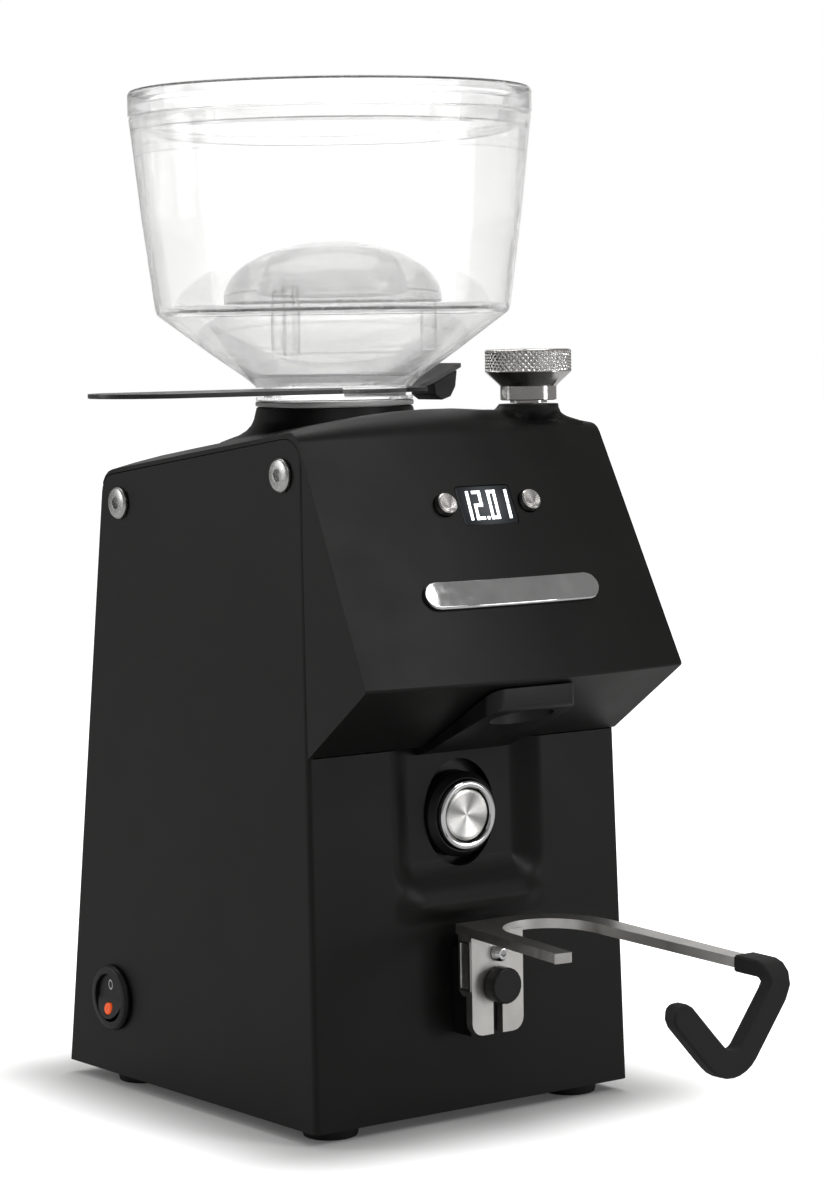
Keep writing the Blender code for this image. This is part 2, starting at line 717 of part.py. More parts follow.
def make_adjuster():
    toward = atan2(KNOB_Y - AXIS_Y, KNOB_X)
    pitch = MODULE * RING_TEETH / 2
    step = 2 * pi / RING_TEETH
    sector = 6
    outline = gear_outline(RING_TEETH, pitch - 3.2, pitch + 2.4, 0, 2 * sector + 1,
                           toward - sector * step)
    origin = (0, AXIS_Y, 0)
    ring = prism("adjuster_ring", outline, 190.2, 196.2, "cast_aluminium", "XY", origin)
    boolean(ring, rod("cut_ring_bore", 24.5, 180, 200, None, origin, "Z", 24))
    trim = trim_outline(toward, sector * step + 0.10, 46.0)
    boolean(ring, prism("cut_ring_trim", trim, 180, 200, None, "XY", origin))
    origin = (KNOB_X, KNOB_Y, 0)
    small = MODULE * PINION_TEETH / 2
    turn = toward + pi + pi / PINION_TEETH
    outline = gear_outline(PINION_TEETH, small - 3.2, small + 2.4, 0, None, turn)
    pinion = prism("adjuster_pinion", outline, 190.2, 196.2, "plated_steel", "XY", origin)
    boolean(pinion, rod("add_pinion_shaft", 4.0, 186, 251.4, None, origin, "Z", 20, 0.4), "UNION")
    knob = [(4.3, 242.7), (6.55, 242.7), (6.55, 243.6), (9.9, 243.6), (9.9, 248.7), (10.6, 249.3)]
    knob += [(14.6, 253.0), (15.2, 253.7), (15.2, 260.9), (14.6, 261.4), (11.9, 261.4)]
    profile = [(0, 251.8), (4.3, 251.8)] + knob + [(11.4, 260.8), (0, 260.8)]
    revolve("adjustment_knob", profile, "knob_steel", origin, "Z", 28)


def trim_outline(toward, spread, inner):
    """Sector-shaped cutter that takes the far side of the ring down to a smaller radius."""
    points = []
    steps = 24
    for k in range(steps + 1):
        angle = toward + spread + (2 * pi - 2 * spread) * k / steps
        points.append((inner * cos(angle), inner * sin(angle)))
    for k in range(steps, -1, -1):
        angle = toward + spread + (2 * pi - 2 * spread) * k / steps
        points.append((70 * cos(angle), 70 * sin(angle)))
    return points


# ---------------------------------------------------------------- grinding unit

def make_grinding_unit():
    axis = (0, AXIS_Y, 0)
    chamber = [(41, 150.1), (41, 189.2), (33.6, 189.2), (33.6, 155.0), (9.5, 155.0), (9.5, 150.1)]
    cup = revolve("grinding_chamber", chamber, "cast_aluminium", axis, "Z", 28)
    gate = rounded(-12.2, 158.0, 12.2, 170.6, 1.0, 2)
    boolean(cup, prism("cut_discharge", gate, -60, -20, None, "XZ", axis))
    carrier = [(5.3, 155.6), (29.6, 155.6), (30.0, 156.0), (30.0, 162.9), (10.6, 162.9)]
    carrier += [(10.6, 164.4), (5.3, 164.4)]
    lower = revolve("lower_burr_carrier", carrier, "plated_steel", axis, "Z", 24)
    for k in range(4):
        angle = radians(45 + 90 * k)
        place = (0, AXIS_Y, 0)
        vane = box(f"add_vane_{k}", (28, -1.6, 156.0), (32.6, 1.6, 162.0), None, place,
                   tilt=(0, 0, angle))
        boolean(lower, vane, "UNION")
    burr = [(13.2, 163.2), (27.0, 163.2), (27.0, 168.2), (20, 168.9), (15.0, 166.6), (13.2, 166.0)]
    plain = revolve("lower_burr", burr, "burr_steel", axis, "Z", 24)
    cut_burr_teeth(plain, "low", 168.9, 1.6)
    burr = [(13.2, 175.3), (13.2, 172.0), (15.0, 171.4), (20, 169.5), (27.0, 170.2), (27.0, 175.3)]
    plain = revolve("upper_burr", burr, "burr_steel", axis, "Z", 24)
    cut_burr_teeth(plain, "up", 169.5, -1.6)
    holder = [(14.0, 175.6), (32.9, 175.6), (33.2, 176.0), (33.2, 186.6), (32.8, 187.0)]
    holder += [(24.1, 187.0), (24.1, 199.0), (20.4, 199.0), (14.0, 190.0)]
    revolve("upper_burr_carrier", holder, "cast_aluminium", axis, "Z", 28)


def cut_burr_teeth(burr, tag, level, depth):
    """Six radial feed grooves across the cutting face."""
    low = min(level, level - depth)
    high = max(level, level - depth)
    if depth > 0:
        high += 3
    else:
        low -= 3
    for k in range(6):
        angle = radians(60 * k + (15 if depth > 0 else 0))
        groove = box(f"cut_{tag}_{k}", (10, 1.0, low), (24.0, 3.2, high), None,
                     (0, AXIS_Y, 0), tilt=(0, 0, angle))
        boolean(burr, groove)


# ---------------------------------------------------------------- motor

def make_motor():
    axis = (0, AXIS_Y, 0)
    rear = rear_y(148) - 2.6
    deck = box("deck_plate", (-63.4, 16.2, 146.5), (63.4, rear - 0.4, 149.7), "plated_steel", edge=1.5)
    boolean(deck, rod("cut_deck", 12.0, 140, 156, None, axis, "Z", 28))
    cover = [(11.3, 130.0), (11.3, 139.4), (5.6, 139.4), (5.6, 146.1), (41.6, 146.1), (42, 145.7)]
    cover += [(42, 118.1), (37.4, 118.1), (37.4, 142.0), (14.5, 142.0), (14.5, 130.0)]
    revolve("motor_upper_cover", cover, "cast_aluminium", axis, "Z", 24)
    cover = [(11.3, 58.6), (14.5, 58.6), (14.5, 49.2), (37.4, 49.2), (37.4, 71.7), (42, 71.7)]
    cover += [(42, 45.4), (41.6, 45.0), (5.6, 45.0), (5.6, 49.8), (11.3, 49.8)]
    revolve("motor_lower_cover", cover, "cast_aluminium", axis, "Z", 24)
    tube("motor_stator", 42, 24.6, 72.0, 117.8, "stator_steel", axis)
    tube("upper_winding", 36, 27.4, 118.1, 127.5, "copper_wire", axis, edge=2.4)
    tube("lower_winding", 36, 27.4, 62.4, 71.7, "copper_wire", axis, edge=2.4)
    rotor = rod("motor_rotor", 24.0, 71, 119, "stator_steel", axis, "Z", 40, 0.5)
    boolean(rotor, rod("cut_rotor", 5.4, 60, 130, None, axis, "Z", 24))
    rod("motor_shaft", 5.0, 46.2, 172.0, "plated_steel", axis, "Z", 24, 0.6)
    tube("upper_bearing", 11.0, 5.3, 130.2, 139.1, "plated_steel", axis, "Z", 20)
    tube("lower_bearing", 11.0, 5.3, 50.1, 58.4, "plated_steel", axis, "Z", 20)


def make_electrics():
    profile = [(0, 3.0), (12.2, 3.0), (12.5, 3.4), (12.5, 56.2), (11.6, 58.0), (0, 58.0)]
    revolve("run_capacitor", profile, "capacitor_shell", (45, 131, 0), "Z", 20)
    board = box("control_board", (-40, 40, 11.0), (40, 110, 12.6), "board_green", edge=1.5)
    bits = [(-30, 50, -8, 74, 30), (6, 48, 32, 64, 24), (-32, 84, -16, 102, 22), (4, 80, 30, 104, 34)]
    for k, (x0, y0, x1, y1, z) in enumerate(bits):
        part = box(f"add_bit_{k}", (x0, y0, 12.0), (x1, y1, z), None, edge=1.0)
        boolean(board, part, "UNION")


# ---------------------------------------------------------------- front and side switches

def make_start_button():
    origin = (0, 0, START_Z)
    collar = [(12.3, 4.4), (13.0, 4.1), (14.9, 6.6), (14.9, 13.4), (12.3, 13.4)]
    ring = revolve("start_collar", collar, "black_plastic", origin, "Y", 28)
    outline = ellipse(0, 0.65, 17.6, 21.0, 32)
    plate = prism("add_cup", outline, 12.8, 14.8, None, "XZ", origin)
    boolean(plate, rod("cut_cup", 12.3, 5, 20, None, origin, "Y", 28))
    boolean(ring, plate, "UNION")
    chrome = [(9.5, 3.2), (10.1, 2.7), (11.5, 2.6), (11.9, 3.1), (11.9, 18.5), (9.5, 18.5)]
    revolve("start_ring", chrome, "chrome", origin, "Y", 28)
    cap = [(0, 3.4), (8.6, 3.4), (9.1, 3.9), (9.1, 20.5), (0, 20.5)]
    revolve("start_button", cap, "knob_steel", origin, "Y", 28)
    box("micro_switch", (-8, 23.8, 95.5), (8, 34.0, 107.5), "black_plastic", edge=0.8)


def make_power_switch():
    face = half_width(27.9)
    origin = (-face, 128.1, 27.9)
    body = [(0, 16), (9.6, 16), (9.6, -0.25), (12.0, -0.25), (12.0, -1.4), (11.2, -2.4), (9.6, -2.6)]
    body += [(0, -2.6)]
    switch = revolve("power_switch_body", body, "black_plastic", origin, "X", 24)
    boolean(switch, rod("cut_rocker_well", 8.8, -10, 9.0, None, origin, "X", 22))
    tilt = (0, radians(8), 0)
    profile = [(-3.6, -9.3), (-2.2, 0.0), (-3.6, 9.3), (1.4, 9.3), (4.8, 0.0), (1.4, -9.3)]
    rocker = prism("power_rocker", profile, -9.3, 9.3, "black_plastic", "XZ",
                   (-face + 1.0, 128.1, 27.9), tilt)
    keep = rod("keep_rocker", 8.2, -10, 12, None, (-face + 1.0, 128.1, 27.9), "X", 32, tilt=tilt)
    boolean(rocker, keep, "INTERSECT")
    hole = rod("cut_lens", 2.5, -8, -1.4, None, lens_place(face), "X", 16, tilt=tilt)
    boolean(rocker, hole)
    rod("indicator_lens", 2.2, -3.4, -1.7, "lens_orange", lens_place(face), "X", 20, 0.3, tilt)


def lens_place(face):
    """A point of the rocker 4.4 mm below its pivot, turned with the rocker."""
    angle = radians(8)
    return (-face + 1.0 - 4.4 * sin(angle), 128.1, 27.9 - 4.4 * cos(angle))


# ---------------------------------------------------------------- basket fork

def fork_z(y):
    return FORK_Z + (y + 12.5) * FORK_DROOP


def fork_outline():
    points = [(-10.7, -3.2), (-11.3, -12.0), (-15.0, -61.5), (-15.6, -62.9), (-14.8, -63.3)]
    points += [(-9.6, -64.0), (-8.7, -63.4), (-5.7, -29.5)]
    points += arc(FORK_CX, FORK_CY, FORK_IN_R, 178, 2, 20)
    points += [(PRONG_X0, -30.5), (PRONG_X0, -101.5), (PRONG_X1, -101.5), (PRONG_X1, -94)]
    points += [(36.8, -30.5)]
    points += arc(FORK_CX, FORK_CY, FORK_OUT_R, 0, 90, 12)
    return points


def make_fork():
    outline = fork_outline()
    rings = []
    for side in (-1, 1):
        rings.append([(x, y, fork_z(y) + side * FORK_T / 2) for x, y in outline])
    fork = loft("fork_bracket", rings, "fork_steel")
    plate = [(-11.1, 63.0)]
    plate += arc(-6.6, 32.2, 4.5, 180, 270, 4) + [(-2.0, 27.7), (-2.0, 48.0)]
    plate += arc(0, 48.0, 2.0, 150, 30, 4) + [(2.0, 48.0), (2.0, 27.7)]
    plate += arc(6.6, 32.2, 4.5, 270, 360, 4) + [(11.1, 63.0)]
    boolean(fork, prism("add_bracket", plate, -12.5, -9.2, None, "XZ"), "UNION")
    ear = [(-12.4, 62.8), (-12.4, 43.0), (-10.4, 41.2), (-7.2, 41.2), (-5.2, 43.0), (-5.2, 62.8)]
    boolean(fork, prism("add_ear", ear, -11.2, -9.7, None, "YZ"), "UNION")
    core = ribbon("add_hook_core", hook_path(-97.0, 0.8), 6.4, 3.0, None)
    boolean(fork, core, "UNION")
    boolean(fork, rod("cut_stop", 1.75, -16, -5, None, (0, 0, 55.6), "Y", 16))
    sleeve = ribbon("hook_sleeve", hook_path(-103.0, 0.0), 9.2, 5.6, "rubber")
    inner = ribbon("cut_sleeve", hook_path(-100.0, 0.45), 7.0, 3.6, None)
    boolean(sleeve, inner)


def hook_path(start_y, short):
    """Centre line of the prong end and the hook: points with their thickness direction."""
    x = (PRONG_X0 + PRONG_X1) / 2
    z = fork_z(-104)
    path = [((x, start_y, fork_z(start_y)), (0, 0, 1)), ((x, -108, fork_z(-108)), (0, 0, 1))]
    path.append(((x, -113.4, z - 0.2), (0, 0, 1)))
    for angle in (30, 60, 90):
        y = -113.4 - 4.5 * sin(radians(angle))
        drop = 4.5 * (1 - cos(radians(angle)))
        way = (0, -sin(radians(angle)), cos(radians(angle)))
        path.append(((x - 0.1, y, z - 0.2 - drop), way))
    flat = [(31.4, 54.8)]
    flat += fillet((31.4, 57), (30.2, 53.3), (19, 40.6), 4.0, 2)
    flat += fillet((31.4, 55), (11.4, 28.3), (-9.3, 50.7), 8.5, 8)
    end = Vector((-9.3, 50.7))
    along = (Vector((1.5, 40.7)) - end).normalized()
    end = end + along * short
    flat += [(1.5, 38.9), (end.x, end.y)]
    for px, pz in flat[1:]:
        path.append(((px, HOOK_Y, pz), (0, -1, 0)))
    return path


def ribbon(name, path, width, thick, slot):
    """Rectangular bar with broken edges swept along the path, with a rounded far end."""
    rings = []
    count = len(path)
    for k, (point, normal) in enumerate(path):
        before = Vector(path[max(0, k - 1)][0])
        after = Vector(path[min(count - 1, k + 1)][0])
        tangent = (after - before).normalized()
        normal = Vector(normal)
        normal = (normal - tangent * normal.dot(tangent)).normalized()
        across = normal.cross(tangent)
        rings.append(bar_ring(Vector(point), across, normal, width, thick))
    point = Vector(path[-1][0])
    tangent = (point - Vector(path[-2][0])).normalized()
    normal = Vector(path[-1][1])
    across = normal.cross(tangent)
    for angle in (35, 65, 82):
        reach = point + tangent * (width / 2 * sin(radians(angle)))
        rings.append(bar_ring(reach, across, normal, width * cos(radians(angle)), thick))
    return loft(name, rings, slot)


def bar_ring(point, across, normal, width, thick):
    a = width / 2
    b = thick / 2
    c = min(0.7, 0.3 * a)
    corners = [(a, b - c), (a - c, b), (-a + c, b), (-a, b - c)]
    corners += [(-a, -b + c), (-a + c, -b), (a - c, -b), (a, -b + c)]
    return [tuple(point + across * u + normal * v) for u, v in corners]


def make_fork_mount():
    outline = [(-8.9, 27), (front_y(27) - 0.35, 27), (front_y(57) - 0.35, 57), (-8.9, 57)]
    block = prism("mounting_block", outline, -9, 9, "black_plastic", "YZ")
    boolean(block, rod("cut_thumb", 2.2, -20, -3.4, None, (0, 0, 44.8), "Y", 16))
    for tag, x in (("l", -4.5), ("r", 4.5)):
        boolean(block, rod("cut_mount_" + tag, 1.7, -5, 6, None, (x, 0, 34), "Y", 12))
    thumb = [(0, -18.2), (5.8, -18.2), (6.3, -17.7), (6.3, -13.3), (5.8, -12.8), (1.7, -12.8)]
    thumb += [(1.7, -4.2), (0, -4.2)]
    revolve("thumb_screw", thumb, "black_plastic", (0, 0, 44.8), "Y", 22)
    stop = [(0, -16.0), (1.9, -15.9), (2.7, -14.9), (2.9, -13.6), (2.9, -12.8), (1.4, -12.8)]
    stop += [(1.4, -9.4), (0, -9.4)]
    screw = revolve("stop_screw", stop, "chrome", (0, 0, 55.6), "Y", 24)
    socket = [(0, -18), (1.2, -18), (1.2, -14.6), (0, -14.6)]
    boolean(screw, revolve("cut_stop_socket", socket, None, (0, 0, 55.6), "Y", 6))


def main():
    clear_scene()
    make_materials()
    make_body_shell()
    make_side_screws()
    make_base_plate()
    make_rear_panel()
    make_feet()
    make_cable_gland()
    make_head()
    make_display()
    make_badge()
    make_chute()
    make_hopper()
    make_shutter()
    make_adjuster()
    make_grinding_unit()
    make_motor()
    make_electrics()
    make_start_button()
    make_power_switch()
    make_fork()
    make_fork_mount()


main()
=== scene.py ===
"""Looks of the burr coffee grinder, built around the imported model.

Lengths in this script are millimetres in the grinder's own frame: X to the right, Y to the
back, Z up, origin at the middle of the bottom edge of the front panel. SHIFT, read from the
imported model, moves them into the model's frame, and MM turns them into metres.
"""

from math import cos, pi, radians, sin

import bmesh
import bpy
from mathutils import Matrix, Vector


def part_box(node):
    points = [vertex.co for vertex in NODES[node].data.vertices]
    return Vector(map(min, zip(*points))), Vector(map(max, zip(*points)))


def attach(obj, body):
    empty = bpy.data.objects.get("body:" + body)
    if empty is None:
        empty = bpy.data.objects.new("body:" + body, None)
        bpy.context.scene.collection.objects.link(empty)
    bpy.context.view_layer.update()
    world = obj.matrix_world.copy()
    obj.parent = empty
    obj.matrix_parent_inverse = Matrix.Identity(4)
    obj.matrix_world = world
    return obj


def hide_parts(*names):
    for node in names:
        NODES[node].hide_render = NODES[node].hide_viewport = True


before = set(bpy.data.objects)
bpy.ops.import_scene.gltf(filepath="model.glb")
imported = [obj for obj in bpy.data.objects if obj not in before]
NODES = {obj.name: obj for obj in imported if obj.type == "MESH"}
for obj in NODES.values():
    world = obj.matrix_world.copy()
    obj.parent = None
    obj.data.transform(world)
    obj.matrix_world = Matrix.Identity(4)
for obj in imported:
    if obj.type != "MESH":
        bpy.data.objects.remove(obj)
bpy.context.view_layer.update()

MM = 0.001

# Driving dimensions of the grinder.
AXIS_Y = 78.5               # vertical axis of the hopper, burrs and motor
FOOT_HEIGHT = 4.5
KNOB = (37.2, 13.38)        # axis of the adjustment knob
BOSS_REACH = 19.0           # how far the boss of the knob blends out
START_Z = 101.5             # height of the start button
HEAD_HALF = 66.4            # half width of the head
SLOPE_TOP = (9.6, 235.1)    # Y and Z of the upper edge of the sloping face
SLOPE_DOWN = (-0.4472, -0.8944)
SLOPE_OUT = (-0.8944, 0.4472)
BOW = 6.7                   # how far the sloping face bows forward in the middle
WINDOW_S = 29.0             # middle of the display, down the slope

# Places of the pieces made here, in line with the CAD nodes.
DOME_RADIUS = 39.2
DOME_FOOT = 278.6           # height of the dome's lower edge
DOME_SPRING = 280.2         # height where its curve starts
DOME_RISE = 21.0            # height of the curve
POST_CIRCLE = 34.6          # radius that the dome's posts stand on
GRIP = (253.8, 260.8)       # knurled band of the knob
GRIP_RADIUS = 15.2
SWITCH = (128.1, 27.9)      # Y and Z of the rocker switch
SWITCH_TILT = 8.0           # degrees that the rocker leans at rest
EAR_RIM = (-8.8, 51.8)      # Y and Z of the rim on the ear of the fork's bracket


def middle(node):
    low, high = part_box(node)
    return (low + high) / 2


SHIFT = Vector((middle("hopper_bowl").x / MM, middle("hopper_bowl").y / MM - AXIS_Y, FOOT_HEIGHT))


# ---------------------------------------------------------------- shader helpers

def new_material(name, colour, roughness, metallic=0.0):
    material = bpy.data.materials.new(name)
    material.use_nodes = True
    material.diffuse_color = (*colour, 1.0)
    shader = material.node_tree.nodes["Principled BSDF"]
    shader.inputs["Base Color"].default_value = (*colour, 1.0)
    shader.inputs["Roughness"].default_value = roughness
    shader.inputs["Metallic"].default_value = metallic
    return material


def add_node(material, kind, **settings):
    node = material.node_tree.nodes.new(kind)
    for key, value in settings.items():
        setattr(node, key, value)
    return node


def link(material, source, target):
    material.node_tree.links.new(source, target)


def coordinates(material, scale):
    """Object coordinates, in metres, stretched by scale."""
    where = add_node(material, "ShaderNodeTexCoord")
    mapping = add_node(material, "ShaderNodeMapping")
    mapping.inputs["Scale"].default_value = scale
    link(material, where.outputs["Object"], mapping.inputs["Vector"])
    return mapping.outputs["Vector"]


def noise(material, scale, detail=2.0, stretch=(1, 1, 1)):
    texture = add_node(material, "ShaderNodeTexNoise")
    texture.inputs["Scale"].default_value = scale
    texture.inputs["Detail"].default_value = detail
    link(material, coordinates(material, stretch), texture.inputs["Vector"])
    return texture.outputs["Fac"]


def spread(material, value, low, high):
    """Maps the middle of a noise's range, where most of it lies, to low..high."""
    remap = add_node(material, "ShaderNodeMapRange")
    remap.inputs["From Min"].default_value = 0.3
    remap.inputs["From Max"].default_value = 0.7
    remap.inputs["To Min"].default_value = low
    remap.inputs["To Max"].default_value = high
    link(material, value, remap.inputs["Value"])
    return remap.outputs["Result"]


def shader_of(material):
    return material.node_tree.nodes["Principled BSDF"]


def vary_roughness(material, value, low, high):
    link(material, spread(material, value, low, high), shader_of(material).inputs["Roughness"])


def vary_colour(material, value, dark, light):
    mix = add_node(material, "ShaderNodeMix", data_type="RGBA")
    mix.inputs["A"].default_value = (*dark, 1.0)
    mix.inputs["B"].default_value = (*light, 1.0)
    link(material, spread(material, value, 0.0, 1.0), mix.inputs["Factor"])
    link(material, mix.outputs["Result"], shader_of(material).inputs["Base Color"])


def add_bump(material, value, height, strength=1.0):
    bump = add_node(material, "ShaderNodeBump")
    bump.inputs["Strength"].default_value = strength
    bump.inputs["Distance"].default_value = height
    link(material, value, bump.inputs["Height"])
    link(material, bump.outputs["Normal"], shader_of(material).inputs["Normal"])


# ---------------------------------------------------------------- materials

def powder_coat():
    """Fine-texture black powder coat: a soft sheen over tiny orange-peel bumps."""
    m = new_material("powder_coat", (0.005, 0.0048, 0.0045), 0.46)
    shader_of(m).inputs["Specular IOR Level"].default_value = 0.22
    fine = noise(m, 2200, 3.0)
    broad = noise(m, 45, 2.0)
    vary_roughness(m, broad, 0.40, 0.47)
    vary_colour(m, broad, (0.0040, 0.0038, 0.0036), (0.0056, 0.0054, 0.0051))
    add_bump(m, fine, 0.00005, 0.35)
    return m


def black_plastic():
    m = new_material("black_plastic", (0.006, 0.006, 0.006), 0.38)
    shader_of(m).inputs["Specular IOR Level"].default_value = 0.30
    broad = noise(m, 120, 2.0)
    vary_roughness(m, broad, 0.34, 0.44)
    vary_colour(m, broad, (0.005, 0.005, 0.005), (0.008, 0.008, 0.008))
    add_bump(m, noise(m, 3800, 2.0), 0.00004, 0.3)
    return m


def rubber():
    m = new_material("rubber", (0.010, 0.010, 0.010), 0.62)
    shader_of(m).inputs["Specular IOR Level"].default_value = 0.30
    broad = noise(m, 160, 3.0)
    vary_roughness(m, broad, 0.55, 0.72)
    vary_colour(m, broad, (0.008, 0.008, 0.008), (0.014, 0.014, 0.014))
    add_bump(m, noise(m, 2200, 2.0), 0.00008, 0.4)
    return m


def clear_plastic(name, tint, alpha):
    """Clear moulding: real refraction, and a little see-through so that light gets inside."""
    m = new_material(name, tint, 0.02)
    shader = shader_of(m)
    shader.inputs["Transmission Weight"].default_value = 1.0
    shader.inputs["IOR"].default_value = 1.46
    shader.inputs["Alpha"].default_value = alpha
    vary_roughness(m, noise(m, 40, 2.0), 0.010, 0.030)
    return m


def painted_edge_shade(name, shade_tone):
    """Painted shade: grey of a moulded edge seen end on, where the clear plastic is thick."""
    m = new_material(name, shade_tone, 0.2)
    shader_of(m).inputs["Transmission Weight"].default_value = 0.5
    vary_roughness(m, noise(m, 300, 2.0), 0.15, 0.3)
    return m


def frosted_ring():
    m = new_material("frosted_ring", (0.80, 0.80, 0.79), 0.35)
    shader_of(m).inputs["Transmission Weight"].default_value = 0.35
    vary_roughness(m, noise(m, 200, 2.0), 0.28, 0.42)
    return m


def metal(name, dark, light, low, high, grain=(1, 1, 1), scale=900, height=0.00002):
    m = new_material(name, light, low, 1.0)
    streak = noise(m, scale, 3.0, grain)
    vary_roughness(m, streak, low, high)
    vary_colour(m, noise(m, 90, 2.0), dark, light)
    add_bump(m, streak, height, 0.35)
    return m


def spun_metal(name, origin, dark, light):
    """Turned face: fine ring grooves about a Y axis through origin, and bright angular bands of
    painted highlight around it.
    """
    highlight_sectors = 4
    m = new_material(name, light, 0.26, 1.0)
    where = add_node(m, "ShaderNodeTexCoord")
    move = add_node(m, "ShaderNodeMapping", vector_type="POINT")
    move.inputs["Location"].default_value = [-v for v in origin]
    link(m, where.outputs["Object"], move.inputs["Vector"])
    rings = add_node(m, "ShaderNodeTexWave", wave_type="RINGS", rings_direction="Y")
    rings.inputs["Scale"].default_value = 900.0
    link(m, move.outputs["Vector"], rings.inputs["Vector"])
    add_bump(m, rings.outputs["Fac"], 0.00002, 0.5)
    # Painted highlight: the base colour swings between dark and light around the axis, in place of
    # the glints that a turned face catches from the lamps.
    parts = add_node(m, "ShaderNodeSeparateXYZ")
    link(m, move.outputs["Vector"], parts.inputs["Vector"])
    angle = add_node(m, "ShaderNodeMath", operation="ARCTAN2")
    link(m, parts.outputs["Z"], angle.inputs[0])
    link(m, parts.outputs["X"], angle.inputs[1])
    turns = add_node(m, "ShaderNodeMath", operation="MULTIPLY")
    turns.inputs[1].default_value = float(highlight_sectors)
    link(m, angle.outputs["Value"], turns.inputs[0])
    wave = add_node(m, "ShaderNodeMath", operation="SINE")
    link(m, turns.outputs["Value"], wave.inputs[0])
    level = add_node(m, "ShaderNodeMapRange")
    level.inputs["From Min"].default_value = -1.0
    link(m, wave.outputs["Value"], level.inputs["Value"])
    mix = add_node(m, "ShaderNodeMix", data_type="RGBA")
    mix.inputs["A"].default_value = (*dark, 1.0)
    mix.inputs["B"].default_value = (*light, 1.0)
    link(m, level.outputs["Result"], mix.inputs["Factor"])
    link(m, mix.outputs["Result"], shader_of(m).inputs["Base Color"])
    return m


def dark_glass():
    """Display window, hazy with the light of its own digits towards the middle."""
    m = new_material("display_glass", (0.006, 0.007, 0.010), 0.06)
    vary_roughness(m, noise(m, 300, 2.0), 0.04, 0.10)
    haze_reach = 12 * MM
    away = add_node(m, "ShaderNodeVectorMath", operation="DISTANCE")
    link(m, coordinates(m, (1, 1, 1)), away.inputs[0])
    away.inputs[1].default_value = middle("display_window")
    haze = add_node(m, "ShaderNodeMapRange", interpolation_type="SMOOTHSTEP")
    haze.inputs["From Max"].default_value = haze_reach
    haze.inputs["To Min"].default_value = 0.10
    haze.inputs["To Max"].default_value = 0.01
    link(m, away.outputs["Value"], haze.inputs["Value"])
    shader = shader_of(m)
    shader.inputs["Emission Color"].default_value = (0.85, 0.93, 1.0, 1.0)
    link(m, haze.outputs["Result"], shader.inputs["Emission Strength"])
    return m


def glowing(name, colour, strength):
    m = new_material(name, colour, 0.4)
    shader = shader_of(m)
    shader.inputs["Emission Color"].default_value = (*colour, 1.0)
    shader.inputs["Emission Strength"].default_value = strength
    vary_roughness(m, noise(m, 400, 2.0), 0.3, 0.5)
    return m


def lens():
    m = new_material("lens_orange", (0.80, 0.10, 0.02), 0.22)
    shader = shader_of(m)
    shader.inputs["Emission Color"].default_value = (1.0, 0.12, 0.02, 1.0)
    shader.inputs["Emission Strength"].default_value = 0.35
    vary_roughness(m, noise(m, 500, 2.0), 0.18, 0.30)
    return m


def painted(name, dark, light, roughness):
    m = new_material(name, light, roughness)
    broad = noise(m, 180, 3.0)
    vary_roughness(m, broad, roughness - 0.06, roughness + 0.06)
    vary_colour(m, broad, dark, light)
    return m


def board():
    """Green solder mask over a faint grid of tracks."""
    m = new_material("board_green", (0.02, 0.16, 0.06), 0.42)
    tracks = add_node(m, "ShaderNodeTexBrick")
    tracks.inputs["Scale"].default_value = 260.0
    tracks.inputs["Color1"].default_value = (0.015, 0.12, 0.045, 1)
    tracks.inputs["Color2"].default_value = (0.02, 0.15, 0.055, 1)
    tracks.inputs["Mortar"].default_value = (0.05, 0.28, 0.11, 1)
    link(m, coordinates(m, (1, 1, 1)), tracks.inputs["Vector"])
    link(m, tracks.outputs["Color"], shader_of(m).inputs["Base Color"])
    return m


# ---------------------------------------------------------------- mesh helpers

def piece(name, points, faces, material, body, angle=32):
    """A smooth-shaded mesh piece that rides on a body. Points are in grinder millimetres."""
    mesh = bpy.data.meshes.new(name)
    mesh.from_pydata([(Vector(p) + SHIFT) * MM for p in points], [], faces)
    shape = bmesh.new()
    shape.from_mesh(mesh)
    bmesh.ops.recalc_face_normals(shape, faces=shape.faces[:])
    shape.to_mesh(mesh)
    shape.free()
    mesh.materials.append(material)
    mesh.polygons.foreach_set("use_smooth", [True] * len(mesh.polygons))
    mesh.set_sharp_from_angle(angle=radians(angle))
    obj = bpy.data.objects.new(name, mesh)
    bpy.context.scene.collection.objects.link(obj)
    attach(obj, body)
    return obj


def ring_faces(count, first, second):
    return [
        (first + k, first + (k + 1) % count, second + (k + 1) % count, second + k)
        for k in range(count)
    ]


def turned(name, profile, centre, axis, steps, material, body, angle=32, radius_of=None):
    """Surface of revolution from (radius, along) points.

    A profile that starts and ends at radius 0 closes at two poles. Any other profile is a
    closed outline, whose last point joins its first.
    """
    points = []
    rings = []
    for radius, along in profile:
        if radius == 0:
            rings.append([len(points)])
            points.append(place(axis, 0, 0, along, centre))
            continue
        ring = []
        for k in range(steps):
            turn = 2 * pi * k / steps
            r = radius if radius_of is None else radius_of(radius, along, turn)
            ring.append(len(points))
            points.append(place(axis, r * cos(turn), r * sin(turn), along, centre))
        rings.append(ring)
    pairs = list(zip(rings, rings[1:]))
    if len(rings[0]) > 1:
        pairs.append((rings[-1], rings[0]))
    faces = []
    for first, second in pairs:
        for k in range(steps):
            n = (k + 1) % steps
            if len(first) == 1:
                faces.append((first[0], second[n], second[k]))
            elif len(second) == 1:
                faces.append((first[k], first[n], second[0]))
            else:
                faces.append((first[k], first[n], second[n], second[k]))
    return piece(name, points, faces, material, body, angle)


def place(axis, a, b, along, centre):
    """A point beside a Y or a Z axis through centre, a and b across it."""
    if axis == "Y":
        return (centre[0] + b, centre[1] + along, centre[2] + a)
    return (centre[0] + a, centre[1] + b, centre[2] + along)


